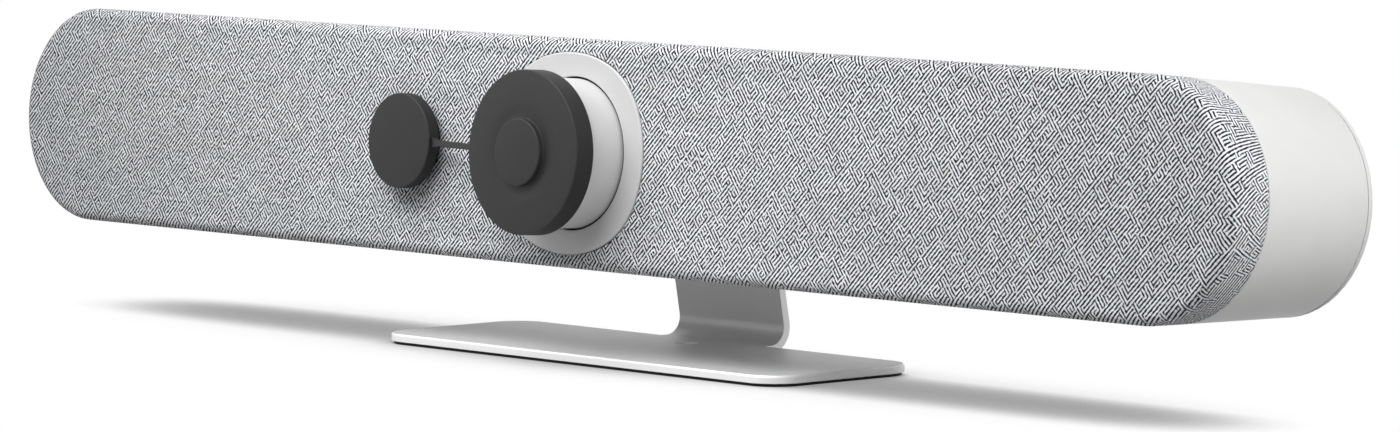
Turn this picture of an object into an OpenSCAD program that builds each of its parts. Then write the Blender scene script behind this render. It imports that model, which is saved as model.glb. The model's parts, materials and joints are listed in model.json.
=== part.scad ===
// Video bar: a long speaker and camera bar with capped lenses on a bent sheet table stand.
// The origin is the centre of the stand pad's underside, +Z is up and the lens faces -Y.
// The bar's own pieces are drawn in the bar's frame: x along it, y back from its front
// face and z up, with the bar's long axis at z = 0. in_bar() tips and lifts that frame.

/* [Bar] */
// Length of the bar
bar_w = 910; // [760:5:1100]
// Height of the bar, which is also the diameter of its round ends
bar_h = 115.5; // [114.5:0.5:119]
// Depth of the bar from the fabric to the rear cover
bar_d = 97.6; // [81:0.2:120]
// Tilt of the bar, front upwards, in degrees
bar_tilt = 3.7; // [2:0.1:5]
// Height of the bar's long axis over the stand plate
bar_rise = 100.65; // [90:0.5:115]
// Wall of the rear housing
casing_wall = 2.8; // [2.4:0.1:3.4]
// Thickness of the rear cover
cover_t = 3.3; // [2.8:0.1:4]
// How much narrower the bar is at its back than at its front, on each side
casing_taper = 4.1; // [3:0.1:4.6]

/* [Grille] */
// Depth of the fabric wrap round the front
fabric_d = 24.2; // [23:0.2:27]
// Thickness of the fabric
fabric_t = 1; // [0.8:0.1:1.2]
// Thickness of the grille frame under the fabric
frame_t = 2.4; // [2:0.1:2.8]
// Rounding of the front edge
edge_r = 5; // [4:0.5:7]
// How much the fabric wrap narrows towards the casing
fabric_taper = 1; // [0.6:0.1:1.2]
// Width of a sound slot in the grille frame
slot_w = 3; // [2:0.2:4]
// Pitch of the sound slots
slot_pitch = 6.5; // [6:0.5:9]

/* [Baffle] */
// Place of the baffle's front face behind the fabric
baffle_y = 14; // [13.5:0.1:14.8]
// Thickness of the baffle
baffle_t = 3; // [2.5:0.1:3.5]

/* [Lens trim] */
// Outer radius of the trim ring
ring_r = 51.2; // [50.4:0.1:51.6]
// Inner radius of the trim ring
ring_hole_r = 38.5; // [38.3:0.1:40]
// Depth of the ring's dish
ring_dish = 2.3; // [1.6:0.1:2.6]
// Outer radius of the fixed lens barrel
barrel_r = 37.5; // [37:0.1:38]
// Wall of the lens barrel
barrel_wall = 2.6; // [2.2:0.1:2.8]
// How far the barrel stands out of the fabric
barrel_out = 26; // [24:0.5:30]
// Radius of the barrel's flange
flange_r = 46; // [45.5:0.1:46.4]

/* [Lens caps] */
// Outer radius of the main cap
cap_r = 40.2; // [39.8:0.1:42]
// Length of the main cap's skirt
cap_skirt = 9.3; // [8:0.1:11]
// Thickness of the main cap's face
cap_face_t = 2.3; // [2:0.1:3]
// Radius of the raised disc on the main cap
cap_disc_r = 17.15; // [15:0.5:20]
// Height of the raised disc
cap_disc_h = 4.1; // [3:0.1:5]
// Outer radius of the small cap
small_cap_r = 23.6; // [23.2:0.1:24.6]
// Length of the small cap
small_cap_l = 6.5; // [6:0.1:7.4]
// Thickness of the small cap's face
small_face_t = 2; // [1.6:0.1:2.2]
// Height of the tether between the caps
tether_h = 2.4; // [2:0.1:3]
// Depth of the tether
tether_d = 3.2; // [2.4:0.1:4]
// Gap between each cap and what it covers
cap_gap = 0.3; // [0.25:0.05:0.4]

/* [Viewfinder] */
// Distance of the viewfinder from the lens
finder_x = 119.35; // [116:0.5:126]
// Outer radius of the viewfinder's rim
finder_r = 21.3; // [20.8:0.1:21.6]
// How far the rim stands out of the fabric
finder_out = 8.8; // [8.4:0.1:9.2]
// Wall of the rim
finder_wall = 2.8; // [2.2:0.1:3.2]
// Radius of the viewfinder's rear can
finder_can_r = 15; // [14:0.5:16]
// Depth of the rear can behind the baffle
finder_can_d = 20; // [16:1:24]
// Radius of the viewfinder's camera
finder_cam_r = 7; // [6:0.5:8]

/* [Camera head] */
// Radius of the ball head
ball_r = 30; // [29.5:0.1:30.3]
// Distance of the head's pivot behind the fabric
pivot_y = 12; // [11.8:0.1:12.6]
// Wall of the ball head
ball_wall = 2.5; // [2.2:0.1:2.8]
// Half width of the ball between its flats
flat_x = 25; // [24.8:0.1:25.2]
// Radius of the front window
window_r = 13.3; // [12.8:0.1:13.6]
// Bore radius of the lens tube
tube_bore_r = 11.2; // [10.8:0.1:11.4]
// Wall of the lens tube
tube_wall = 1.8; // [1.4:0.1:2]
// Radius of the tilt and pan pivot pins
pin_r = 2.2; // [1.8:0.1:2.4]
// Inner distance of the yoke arms from the lens axis
arm_x = 30.2; // [30:0.1:30.4]
// Thickness of the yoke's arms
arm_t = 2.6; // [2.2:0.1:2.8]
// Height of the yoke's arms
arm_h = 13; // [11:0.5:14]
// Thickness of the camera bracket
bracket_t = 3; // [2.6:0.1:3.4]

/* [Gears and motors] */
// Tooth module of the drive gears
tooth_m = 0.8; // [0.8:0.01:0.81]
// Teeth that a full tilt gear would have
tilt_teeth = 80; // [80:1:81]
// Teeth that a full pan gear would have
pan_teeth = 60; // [60:1:61]
// Teeth of each motor pinion
pinion_teeth = 10; // [10:1:11]
// Thickness of the gears
gear_t = 2.6; // [2.2:0.1:2.8]
// Radius of the tilt motor
tilt_motor_r = 5; // [4.5:0.1:5.1]
// Length of the tilt motor
tilt_motor_l = 18; // [14:1:20]
// Radius of the pan motor
pan_motor_r = 6; // [5:0.1:6.5]
// Length of the pan motor
pan_motor_l = 13; // [10:0.5:14]
// Radius of the motor shafts
shaft_r = 0.9; // [0.8:0.05:1]

/* [Speakers] */
// Gap along the bar between the viewfinder's flange and the speaker boxes
box_inset = 22.5; // [20:0.5:30]
// Distance of each speaker box from the bar's end
box_end = 37; // [34:1:42]
// Radius of the woofer's flange
woofer_r = 42; // [41.6:0.1:42.4]
// Depth of the woofer's basket behind the baffle
basket_d = 32; // [30:0.5:34]
// Radius of the magnet
magnet_r = 27; // [25:0.5:28]
// Length of the magnet
magnet_l = 14; // [12:0.5:15]
// Radius of the woofer's cone at its mouth
cone_r = 28.8; // [28.4:0.1:29]
// Radius of the voice coil
coil_r = 12.8; // [12:0.1:13]
// Radius of the radiator's clamp ring
radiator_r = 41; // [40.6:0.1:41.4]
// Radius of the radiator's plate
plate_r = 27.8; // [27:0.1:28]
// Thickness of the radiator's plate
plate_t = 3; // [2.5:0.1:3.2]
// Radius of the rubber roll of a surround
roll_r = 3.1; // [2.8:0.1:3.3]
// Thickness of the rubber of a surround
roll_t = 0.8; // [0.6:0.1:1]
// Thickness of the flanges and clamp rings
clamp_t = 2.5; // [2.2:0.1:2.8]
// Height of the speaker boxes
box_h = 85; // [84:0.5:86]
// Wall of the speaker boxes
box_wall = 3; // [2.5:0.1:3.4]
// Gap between the speaker boxes and the rear cover
box_rear_gap = 10.3; // [9.5:0.1:12]

/* [Electronics] */
// Thickness of the circuit boards
board_t = 1.6; // [1.2:0.1:2]
// Height of the main board
board_h = 100; // [90:1:102]
// Margin of the main board round the camera head
board_gap = 3; // [2:0.5:4]
// Depth of the heat sink with its fins
sink_d = 12.4; // [10:0.2:12.6]
// Pitch of the heat sink's fins
fin_pitch = 9; // [7:0.5:12]
// Thickness of a fin
fin_t = 2; // [1.5:0.1:2.5]
// Length of the microphone strips
mic_strip_w = 94; // [90:1:96]
// Radius of the microphone boots
boot_r = 3.4; // [3:0.1:3.6]

/* [Ports] */
// Width of the port bay
bay_w = 100; // [98:1:104]
// Distance of the bay's centre from the middle of the bar
bay_x = 101; // [99:0.5:103]
// Height of the port bay
bay_h = 35; // [34:0.5:37]
// Height of the bay's centre over the bar's axis
bay_z = -5.5; // [-7:0.5:-4.5]
// Wall of the port bay
bay_wall = 1.5; // [1.2:0.1:1.8]
// Distance from the rear cover's outer face to the sockets' face
bay_depth = 13; // [12:0.2:13.5]
// Depth of the sockets behind the port panel
port_d = 13; // [11:0.2:14]
// Radius of the power inlet's socket
power_r = 4; // [3.6:0.1:4.4]
// Width of a network socket
net_w = 12; // [11:0.2:12.6]
// Height of a network socket
net_h = 8.5; // [8:0.1:9]
// Radius of the pairing button
button_r = 2.6; // [2:0.1:3]
// Travel of the pairing button
button_travel = 1.2; // [0.8:0.1:1.5]

/* [Stand] */
// Width of the stand plate
plate_w = 302; // [250:2:400]
// Depth of the stand plate
plate_d = 98.5; // [82:0.5:130]
// Thickness of the stand's sheet metal
sheet_t = 4; // [3:0.1:4.5]
// Corner radius of the stand plate
plate_corner_r = 18.3; // [12:0.5:24]
// Chamfer of the plate's top edge
plate_chamfer = 0.9; // [0.6:0.1:1.2]
// Thickness of the rubber pad
pad_t = 1.6; // [1.2:0.1:2.4]
// How far the pad stays inside the plate's edge
pad_inset = 1.4; // [1:0.1:2]
// Width of the upright tongue
tongue_w = 79; // [70:1:86]
// Distance of the tongue's foot behind the plate
tongue_set = 13.65; // [13:0.1:18]
// Forward lean of the tongue, in degrees
tongue_lean = 9.86; // [8:0.2:12]
// Inner radius of the stand's bends
bend_r = 9; // [7:0.5:10]
// Height of the tab that bolts to the rear cover
tab_l = 38; // [36:1:42]
// Height of the tab's foot over the bar's axis
tab_low = -6.9; // [-12:0.1:-5]
// Radius of the hole in the plate
plate_hole_r = 6; // [4:0.5:8]
// Distance of the plate's hole from the plate's back edge
plate_hole_inset = 19.1; // [16:0.5:24]

/* [Fasteners] */
// Shank radius of the stand screws
stand_screw_r = 2.4; // [2:0.1:2.6]
// Head radius of the stand screws
stand_head_r = 4.5; // [4:0.1:5]
// Half distance between the stand screws along the bar
stand_screw_x = 27; // [22:0.5:29]
// Tapping radius of the wall mount holes
wall_hole_r = 2.5; // [2.1:0.1:3]
// Distance of each wall mount hole from the middle of the bar
wall_hole_x = 62; // [60:0.5:66]
// Height of the wall mount holes over the bar's axis
wall_hole_z = 30; // [28:0.5:32]
// Shank radius of the cover screws
cover_screw_r = 1.5; // [1.2:0.1:1.6]
// Head radius of the cover screws
cover_head_r = 3; // [2.6:0.1:3.2]

/* [Fits] */
// Radial clearance of a running fit
run_gap = 0.05; // [0.03:0.01:0.08]
// Clearance between pieces that slip together
slip_gap = 0.3; // [0.25:0.05:0.35]
// Radial clearance of a screw in its hole
screw_gap = 0.15; // [0.1:0.05:0.3]

/* [Hidden] */
$fn = 96;

// One overrun for every cut
cut = 1;
left = -1;
right = 1;

// Colours
satin_white = [0.9, 0.9, 0.89];
fabric_grey = [0.68, 0.68, 0.68];
rubber_grey = [0.2, 0.2, 0.21];
dark_plastic = [0.12, 0.12, 0.13];
board_green = [0.1, 0.35, 0.2];
metal = [0.72, 0.73, 0.75];
brass = [0.78, 0.65, 0.35];
glass_dark = [0.06, 0.07, 0.09, 0.6];

// The bar's place on the stand: the tongue rises behind the plate and leans forwards to the tab
plate_top_z = pad_t + sheet_t;
bar_axis_z = plate_top_z + bar_rise;
foot_y = plate_d / 2 + tongue_set;
tab_foot_z = bar_axis_z - bar_d * sin(bar_tilt) + tab_low * cos(bar_tilt);
tongue_reach = (tab_foot_z - plate_top_z) / cos(tongue_lean);
tab_foot_y = foot_y - tongue_reach * sin(tongue_lean);
bar_front_y = tab_foot_y - bar_d * cos(bar_tilt) - tab_low * sin(bar_tilt);

// The bar's outline
half_h = bar_h / 2;
straight_w = bar_w - bar_h;
seam_y = bar_d - cover_t;
rear_edge_r = 1.5;
frame_y = fabric_t + frame_t;
lip_gap = 0.35;
lip_t = 2.6;
baffle_back_y = baffle_y + baffle_t;
frame_inner_r = half_h - fabric_taper - frame_y;

// The lens trim
ring_lip = 0.7;
flange_y = 4.5;
flange_t = 2.5;
barrel_in_r = barrel_r - barrel_wall;
barrel_chamfer = 0.6;
gasket_hole_r = 28;
gasket_t = 2.5;
gasket_inset = 2;

// The caps
cap_in_r = barrel_r + cap_gap;
cap_face_y = -barrel_out - cap_gap - cap_face_t;
cap_edge_r = 1.2;
small_in_r = finder_r + cap_gap;
small_face_y = -finder_out - cap_gap - small_face_t;
tether_sink = 0.8;

// The viewfinder
finder_in_r = finder_r - finder_wall;
finder_flange_r = 26;
finder_flange_y = 10;
finder_window_y = -2;
finder_window_t = 2;

// The camera head
head_back_y = 23.2;
sensor_r = 14.9;
fit_gap = 0.1;
window_back = 25.5;
yoke_front = 5;
yoke_cross_y = 41.2;
yoke_cross_half = 29;
yoke_bend_y = 39.5;
yoke_plate_z = 31;
yoke_plate_t = 2;
yoke_plate_x = 6;
yoke_web_x = 8;
arm_front = arm_h / 2;
arm_hole_r = pin_r + run_gap;
arm_out_x = arm_x + arm_t;
bracket_z = 34;
bracket_x = 14;
bracket_front = 4.6;
bracket_gap = 1;
bracket_foot_h = 11;
yoke_swing_r = norm([yoke_cross_half + arm_t / 2, yoke_cross_y + arm_t]);
bracket_back_y = pivot_y + yoke_swing_r + bracket_gap + bracket_t;
zoom_y = -8;
zoom_l = 8;
focus_y = 10;
focus_l = 5;
cell_wall = 1.6;

// The gears
addendum = 0.7 * tooth_m;
dedendum = 0.95 * tooth_m;
tip_half = 0.3 * tooth_m;
root_half = 0.85 * tooth_m;
tilt_pitch_r = tilt_teeth * tooth_m / 2;
pan_pitch_r = pan_teeth * tooth_m / 2;
pinion_pitch_r = pinion_teeth * tooth_m / 2;
tilt_centre = tilt_pitch_r + pinion_pitch_r;
pan_centre = pan_pitch_r + pinion_pitch_r;
tilt_gear_x = flat_x + slip_gap;
pan_gear_z = yoke_plate_z - gear_t;
tilt_tooth_span = 5;
pan_tooth_first = 3;
pan_tooth_mesh = 8;
pan_tooth_last = 13;
pan_mesh_angle = pan_tooth_mesh * 360 / pan_teeth;
pan_pinion_x = pan_centre * cos(pan_mesh_angle);
pan_pinion_y = pan_centre * sin(pan_mesh_angle);
sector_hub_r = 6;
pan_sector_in_r = 12.5;
tilt_motor_x = 4;
shaft_sink = 4;

// The speakers: a woofer and a pair of radiators in each box, at these shares of its length
woofer_share = 0.25;
radiator_share = 0.75;
box_x0 = finder_x + finder_flange_r + box_inset;
box_x1 = bar_w / 2 - box_end;
woofer_x = box_x0 + (box_x1 - box_x0) * woofer_share;
radiator_x = box_x0 + (box_x1 - box_x0) * radiator_share;
woofer_hole_r = 38.4;
radiator_hole_r = 36.4;
clamp_in_r = 35.6;
roll_mid_r = cone_r + slip_gap + roll_r;
rad_roll_mid_r = plate_r + slip_gap + roll_r;
clamp_y = baffle_y - clamp_t;
basket_y = baffle_back_y + basket_d - baffle_t;
box_back_y = seam_y - box_rear_gap;
basket_neck_r = 38;
basket_wall = 1.6;
basket_neck_d = 14;
basket_window_w = 26;
spider_hole_r = 14.2;
coil_wall = 0.8;
coil_gap = 0.6;
cone_t = 0.8;
cone_back_y = 32;
coil_end_y = 52;
magnet_floor = 2;
dust_cap_h = 4;
plate_weight_r = 15;
plate_weight_t = 4;
vent_count = 10;
vent_w = 3;
vent_h = 52;
vent_pitch = 7;

// The electronics
panel_y = bar_d - bay_depth;
board_back_y = panel_y - port_d;
board_y = board_back_y - board_t;
board_inset = 6;
board_x = bay_x + bay_w / 2 - board_inset;
board_hole_x = arm_out_x + board_gap;
board_hole_z = bracket_z + bracket_t + board_gap;
sink_inset = 6;
sink_x0 = sink_inset - board_x;
sink_x1 = -board_hole_x - board_gap;
sink_h = 68;
sink_base_t = 3.4;
strip_x0 = 56;
strip_h = 6;
strip_z = 46.5;
boots_per_strip = 3;

// The ports
port_wall = 0.8;
port_gap = 0.3;
port_lift = 1;
upper_z = bay_z + bay_h / 4 + port_lift;
lower_z = bay_z - bay_h / 4;
video_w = 14.5;
video_h = 5.4;
video_xs = [-38, -19, 0];
usb_a_w = 13;
usb_a_h = 5.6;
usb_a_xs = [-38, -19];
usb_c_w = 8.6;
usb_c_h = 3;
usb_c_x = -3;
tongue_share = 0.72;
tongue_t = 1.2;
net_xs = [15, 35];
power_x = 20;
button_x = 38;
button_head_l = 2;
button_stem_r = 1.4;

// The fasteners
boss_r = 4.5;
boss_gap = 1;
cover_screw_inset = 17.5;
cover_screw_xs = [box_x0 - cover_screw_inset, (woofer_x + radiator_x) / 2];
cover_screw_z = box_h / 2 + boss_r + boss_gap;
cover_screw_end = 9.5;
boss_l = 24;
cover_screw_l = 15;
cover_head_t = 1.8;
stand_screw_zs = [2, 24];
stand_boss_r = 7;
stand_boss_l = 8;
stand_head_t = 3;
wall_boss_l = 9;

// The bends of the tongue
foot_angle = 90 + tongue_lean;
tab_angle = tongue_lean + bar_tilt;
foot_tangent = bend_r * tan(foot_angle / 2);
tab_tangent = (bend_r + sheet_t) * tan(tab_angle / 2);
tongue_l = tongue_reach - foot_tangent - tab_tangent;
bend_steps = 24;

// Half height of the bar at a depth behind the fabric
function half_at(y) =
    y < fabric_d
    ? half_h - fabric_taper * max(0, y - edge_r) / (fabric_d - edge_r)
    : half_h - fabric_taper
      - (casing_taper - fabric_taper) * (y - fabric_d) / (seam_y - fabric_d);

// The bar's frame, tipped back about its front edge
module in_bar() {
    translate([0, bar_front_y, bar_axis_z])
        rotate([-bar_tilt, 0, 0])
            children();
}

// A form whose section is a stadium: the child is half its side outline, (half height, y)
module stadium() {
    for (side = [left, right])
        translate([side * straight_w / 2, 0, 0])
            turned() children();
    rotate([0, 90, 0])
        linear_extrude(height = straight_w, center = true) {
            children();
            mirror([1, 0]) children();
        }
}

// A form turned about the y axis from an outline (radius, y)
module turned() {
    rotate([-90, 0, 0])
        rotate_extrude()
            children();
}

// A disc or rod along y
module rod_y(r, y0, y1) {
    translate([0, y0, 0])
        rotate([-90, 0, 0])
            cylinder(r = r, h = y1 - y0);
}

// A rod along x
module rod_x(r, x0, x1) {
    translate([x0, 0, 0])
        rotate([0, 90, 0])
            cylinder(r = r, h = x1 - x0);
}

// A tube along y
module tube_y(outer, inner, y0, y1) {
    difference() {
        rod_y(outer, y0, y1);
        rod_y(inner, y0 - cut, y1 + cut);
    }
}

// A box between two corners
module block(low, high) {
    translate(low)
        cube(high - low);
}

// Side outline of the front wrap, drawn in by an inset, from y0 to the wrap's end
module wrap_outline(inset) {
    r = half_h - inset;
    bend = edge_r - inset;
    polygon([
        [0, inset], [r - bend, inset], [r, edge_r],
        [half_at(fabric_d) - inset, fabric_d], [0, fabric_d]
    ]);
    translate([r - bend, edge_r])
        circle(r = bend);
}

// Side outline of the wrap's hollow, square at its front
module hollow_outline(front) {
    polygon([
        [0, front], [frame_inner_r, front], [frame_inner_r, fabric_d + cut],
        [0, fabric_d + cut]
    ]);
}

// Side outline of the casing between two depths
module casing_outline(y0, y1, inset) {
    polygon([
        [0, y0], [half_at(y0) - inset, y0], [half_at(y1) - inset, y1], [0, y1]
    ]);
}

module grille_fabric() {
    color(fabric_grey)
        in_bar()
            difference() {
                stadium() wrap_outline(0);
                stadium() {
                    wrap_outline(fabric_t);
                    translate([0, fabric_d - cut])
                        square([half_at(fabric_d) - fabric_t, cut + cut]);
                }
                rod_y(ring_r + slip_gap, -cut, frame_y);
                translate([-finder_x, 0, 0])
                    rod_y(finder_r + slip_gap, -cut, frame_y);
            }
}

// A row of upright sound slots centred on x
module slot_row(x, y0, y1, count, width, height, pitch) {
    for (i = [0 : count - 1])
        translate([x + (i - (count - 1) / 2) * pitch - width / 2, y0, -height / 2])
            cube([width, y1 - y0, height]);
}

module grille_frame() {
    slots = floor(2 * clamp_in_r / slot_pitch);
    color(dark_plastic)
        in_bar()
            difference() {
                stadium() wrap_outline(fabric_t);
                stadium() hollow_outline(frame_y);
                rod_y(ring_r + slip_gap, 0, frame_y + cut);
                translate([-finder_x, 0, 0])
                    rod_y(finder_r + slip_gap, 0, frame_y + cut);
                for (side = [left, right])
                    for (x = [woofer_x, radiator_x])
                        slot_row(side * x, 0, frame_y + cut, slots, slot_w, vent_h, slot_pitch);
            }
}

// The opening that a driver or radiator needs in a wall
module wall_hole(x, r, y0, y1) {
    translate([x, 0, 0])
        rod_y(r, y0 - cut, y1 + cut);
}

module front_baffle() {
    color(dark_plastic)
        in_bar()
            difference() {
                stadium()
                    square_outline(frame_inner_r - lip_gap, baffle_y, baffle_back_y);
                rod_y(flange_r - flange_t - cut, baffle_y - cut, baffle_back_y + cut);
                wall_hole(-finder_x, finder_can_r + slip_gap, baffle_y, baffle_back_y);
                for (side = [left, right]) {
                    wall_hole(side * woofer_x, woofer_hole_r, baffle_y, baffle_back_y);
                    wall_hole(side * radiator_x, radiator_hole_r, baffle_y, baffle_back_y);
                }
            }
}

// Side outline with one half height between two depths
module square_outline(r, y0, y1) {
    translate([0, y0])
        square([r, y1 - y0]);
}

module rear_housing() {
    color(satin_white)
        in_bar()
            difference() {
                union() {
                    difference() {
                        union() {
                            stadium() casing_outline(fabric_d, seam_y, 0);
                            stadium()
                                square_outline(frame_inner_r - lip_gap, baffle_back_y, fabric_d + cut);
                        }
                        stadium() casing_outline(fabric_d + casing_wall, seam_y + cut, casing_wall);
                        stadium()
                            square_outline(
                                frame_inner_r - lip_gap - lip_t,
                                baffle_back_y - cut,
                                fabric_d + casing_wall + cut
                            );
                    }
                    cover_screw_places()
                        rod_y(boss_r, seam_y - boss_l, seam_y);
                }
                cover_screw_places()
                    rod_y(cover_screw_r + screw_gap, seam_y - cover_screw_l - cut, seam_y + cut);
            }
}

// The places of the screws that hold the rear cover
module cover_screw_places() {
    for (side = [left, right]) {
        for (x = cover_screw_xs)
            for (up = [left, right])
                translate([side * x, 0, up * cover_screw_z])
                    children();
        translate([side * (bar_w / 2 - cover_screw_end), 0, 0])
            children();
    }
}

// The places of the screws that hold the stand
module stand_screw_places() {
    for (side = [left, right])
        for (z = stand_screw_zs)
            translate([side * stand_screw_x, 0, z])
                children();
}

// The places of the wall mount holes
module wall_hole_places() {
    for (side = [left, right])
        translate([side * wall_hole_x, 0, wall_hole_z])
            children();
}

module rear_cover() {
    cover_r = half_at(seam_y);
    color(satin_white)
        in_bar()
            difference() {
                union() {
                    stadium() {
                        square_outline(cover_r, seam_y, bar_d - rear_edge_r);
                        square_outline(cover_r - rear_edge_r, seam_y, bar_d);
                        translate([cover_r - rear_edge_r, bar_d - rear_edge_r])
                            circle(r = rear_edge_r);
                    }
                    stand_screw_places()
                        rod_y(stand_boss_r, seam_y - stand_boss_l, seam_y + cut);
                    wall_hole_places()
                        rod_y(stand_boss_r, seam_y - wall_boss_l, seam_y + cut);
                }
                stand_screw_places()
                    rod_y(stand_screw_r + screw_gap, seam_y - stand_boss_l - cut, bar_d + cut);
                wall_hole_places()
                    rod_y(wall_hole_r, seam_y - wall_boss_l - cut, bar_d + cut);
                cover_screw_places() {
                    rod_y(cover_screw_r + screw_gap, seam_y - cut, bar_d + cut);
                    rod_y(cover_head_r + screw_gap, bar_d - cover_head_t, bar_d + cut);
                }
                block(
                    [bay_x - bay_w / 2, seam_y - cut, bay_z - bay_h / 2],
                    [bay_x + bay_w / 2, bar_d + cut, bay_z + bay_h / 2]
                );
                for (side = [left, right])
                    slot_row(
                        side * radiator_x, seam_y - cut, bar_d + cut, vent_count, vent_w, vent_h,
                        vent_pitch
                    );
            }
}

module lens_trim_ring() {
    color(satin_white)
        in_bar()
            turned()
                polygon([
                    [ring_hole_r, ring_lip + ring_dish],
                    [ring_r, ring_lip],
                    [ring_r, baffle_y],
                    [flange_r + slip_gap, baffle_y],
                    [flange_r + slip_gap, flange_y],
                    [ring_hole_r, flange_y]
                ]);
}

module lens_barrel() {
    skirt_r = flange_r - flange_t;
    color(satin_white)
        in_bar()
            turned()
                polygon([
                    [barrel_in_r, -barrel_out],
                    [barrel_r - barrel_chamfer, -barrel_out],
                    [barrel_r, barrel_chamfer - barrel_out],
                    [barrel_r, flange_y],
                    [flange_r, flange_y],
                    [flange_r, baffle_y],
                    [skirt_r, baffle_y],
                    [skirt_r, flange_y + flange_t],
                    [barrel_in_r, flange_y + flange_t]
                ]);
}

module barrel_gasket() {
    color(dark_plastic)
        in_bar()
            tube_y(
                barrel_in_r, gasket_hole_r, gasket_inset - barrel_out,
                gasket_inset + gasket_t - barrel_out
            );
}

// A turned cup that opens towards the bar: its outline is rounded at the front edge
module cup(outer, inner, face_y, face_t, length) {
    turned()
        difference() {
            union() {
                translate([0, face_y + cap_edge_r])
                    square([outer, length - cap_edge_r]);
                translate([0, face_y])
                    square([outer - cap_edge_r, length]);
                translate([outer - cap_edge_r, face_y + cap_edge_r])
                    circle(r = cap_edge_r);
            }
            translate([0, face_y + face_t])
                square([inner, length]);
        }
}

module main_cap() {
    color(rubber_grey)
        in_bar() {
            cup(cap_r, cap_in_r, cap_face_y, cap_face_t, cap_skirt);
            turned()
                translate([0, cap_face_y - cap_disc_h]) {
                    square([cap_disc_r - cap_edge_r, cap_disc_h + cap_edge_r]);
                    translate([0, cap_edge_r])
                        square([cap_disc_r, cap_disc_h]);
                    translate([cap_disc_r - cap_edge_r, cap_edge_r])
                        circle(r = cap_edge_r);
                }
        }
}

module small_cap() {
    color(rubber_grey)
        in_bar()
            translate([-finder_x, 0, 0])
                cup(small_cap_r, small_in_r, small_face_y, small_face_t, small_cap_l);
}

module cap_tether() {
    start_x = small_cap_r - tether_sink - finder_x;
    start_y = small_face_y + small_cap_l / 2;
    end_x = tether_sink - cap_r;
    end_y = cap_face_y + cap_skirt - tether_d / 2 - tether_sink;
    color(rubber_grey)
        in_bar()
            translate([0, 0, -tether_h / 2])
                linear_extrude(height = tether_h)
                    polygon([
                        [start_x, start_y - tether_d / 2],
                        [end_x, end_y - tether_d / 2],
                        [end_x, end_y + tether_d / 2],
                        [start_x, start_y + tether_d / 2]
                    ]);
}

module viewfinder_housing() {
    color(dark_plastic)
        in_bar()
            translate([-finder_x, 0, 0])
                turned()
                    polygon([
                        [finder_in_r, -finder_out],
                        [finder_r, -finder_out],
                        [finder_r, finder_flange_y],
                        [finder_flange_r, finder_flange_y],
                        [finder_flange_r, baffle_y],
                        [finder_can_r, baffle_y],
                        [finder_can_r, baffle_back_y + finder_can_d],
                        [0, baffle_back_y + finder_can_d],
                        [0, baffle_back_y + finder_can_d - finder_wall],
                        [finder_can_r - finder_wall, baffle_back_y + finder_can_d - finder_wall],
                        [finder_can_r - finder_wall, finder_window_y + finder_window_t],
                        [finder_in_r, finder_window_y + finder_window_t]
                    ]);
}

module viewfinder_window() {
    color(glass_dark)
        in_bar()
            translate([-finder_x, 0, 0])
                rod_y(finder_in_r - fit_gap, finder_window_y, finder_window_y + finder_window_t);
}

module viewfinder_camera() {
    back = baffle_back_y + finder_can_d - finder_wall;
    color(metal)
        in_bar()
            translate([-finder_x, 0, 0]) {
                rod_y(finder_cam_r, finder_window_y + finder_window_t + slip_gap, back - board_t);
                rod_y(finder_can_r - finder_wall - fit_gap, back - board_t, back);
            }
}

module camera_bracket() {
    bracket_low = bracket_z + bracket_t;
    front_y = pivot_y - bracket_front;
    color(metal)
        in_bar()
            difference() {
                union() {
                    for (up = [left, right]) {
                        mirror([0, 0, (1 - up) / 2])
                            block(
                                [-bracket_x, front_y, bracket_z],
                                [bracket_x, bracket_back_y, bracket_low]
                            );
                        mirror([0, 0, (1 - up) / 2])
                            block(
                                [-bracket_x, baffle_back_y, bracket_z],
                                [bracket_x, baffle_back_y + bracket_t, bracket_low + bracket_foot_h]
                            );
                    }
                    block(
                        [-bracket_x, bracket_back_y - bracket_t, -bracket_low],
                        [bracket_x, bracket_back_y, bracket_low]
                    );
                    block(
                        [0, pivot_y + pan_pinion_y - pan_motor_r, -bracket_low],
                        [
                            pan_pinion_x + pan_motor_r, pivot_y + pan_pinion_y + pan_motor_r,
                            -bracket_z
                        ]
                    );
                }
                translate([0, pivot_y, -bracket_low - cut])
                    cylinder(r = arm_hole_r, h = 2 * (bracket_low + cut));
                translate([pan_pinion_x, pivot_y + pan_pinion_y, -bracket_low - cut])
                    cylinder(r = shaft_r + slip_gap, h = bracket_t + 2 * cut);
            }
}

module pan_motor() {
    top = -bracket_z - bracket_t;
    color(metal)
        in_bar()
            translate([pan_pinion_x, pivot_y + pan_pinion_y, 0])
                difference() {
                    translate([0, 0, top - pan_motor_l])
                        cylinder(r = pan_motor_r, h = pan_motor_l);
                    translate([0, 0, top - shaft_sink - slip_gap])
                        cylinder(r = shaft_r + run_gap, h = shaft_sink + slip_gap + cut);
                }
}

// One gear tooth at the pitch radius, pointing along +x
module tooth(pitch_r) {
    translate([pitch_r, 0])
        polygon([
            [-dedendum - addendum, -root_half],
            [-dedendum, -root_half],
            [addendum, -tip_half],
            [addendum, tip_half],
            [-dedendum, root_half],
            [-dedendum - addendum, root_half]
        ]);
}

// A pinion with a gap towards the mesh angle
module pinion_outline(mesh_angle) {
    circle(r = pinion_pitch_r - dedendum);
    for (i = [0 : pinion_teeth - 1])
        rotate(mesh_angle + (i + 0.5) * 360 / pinion_teeth)
            tooth(pinion_pitch_r);
}

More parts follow.
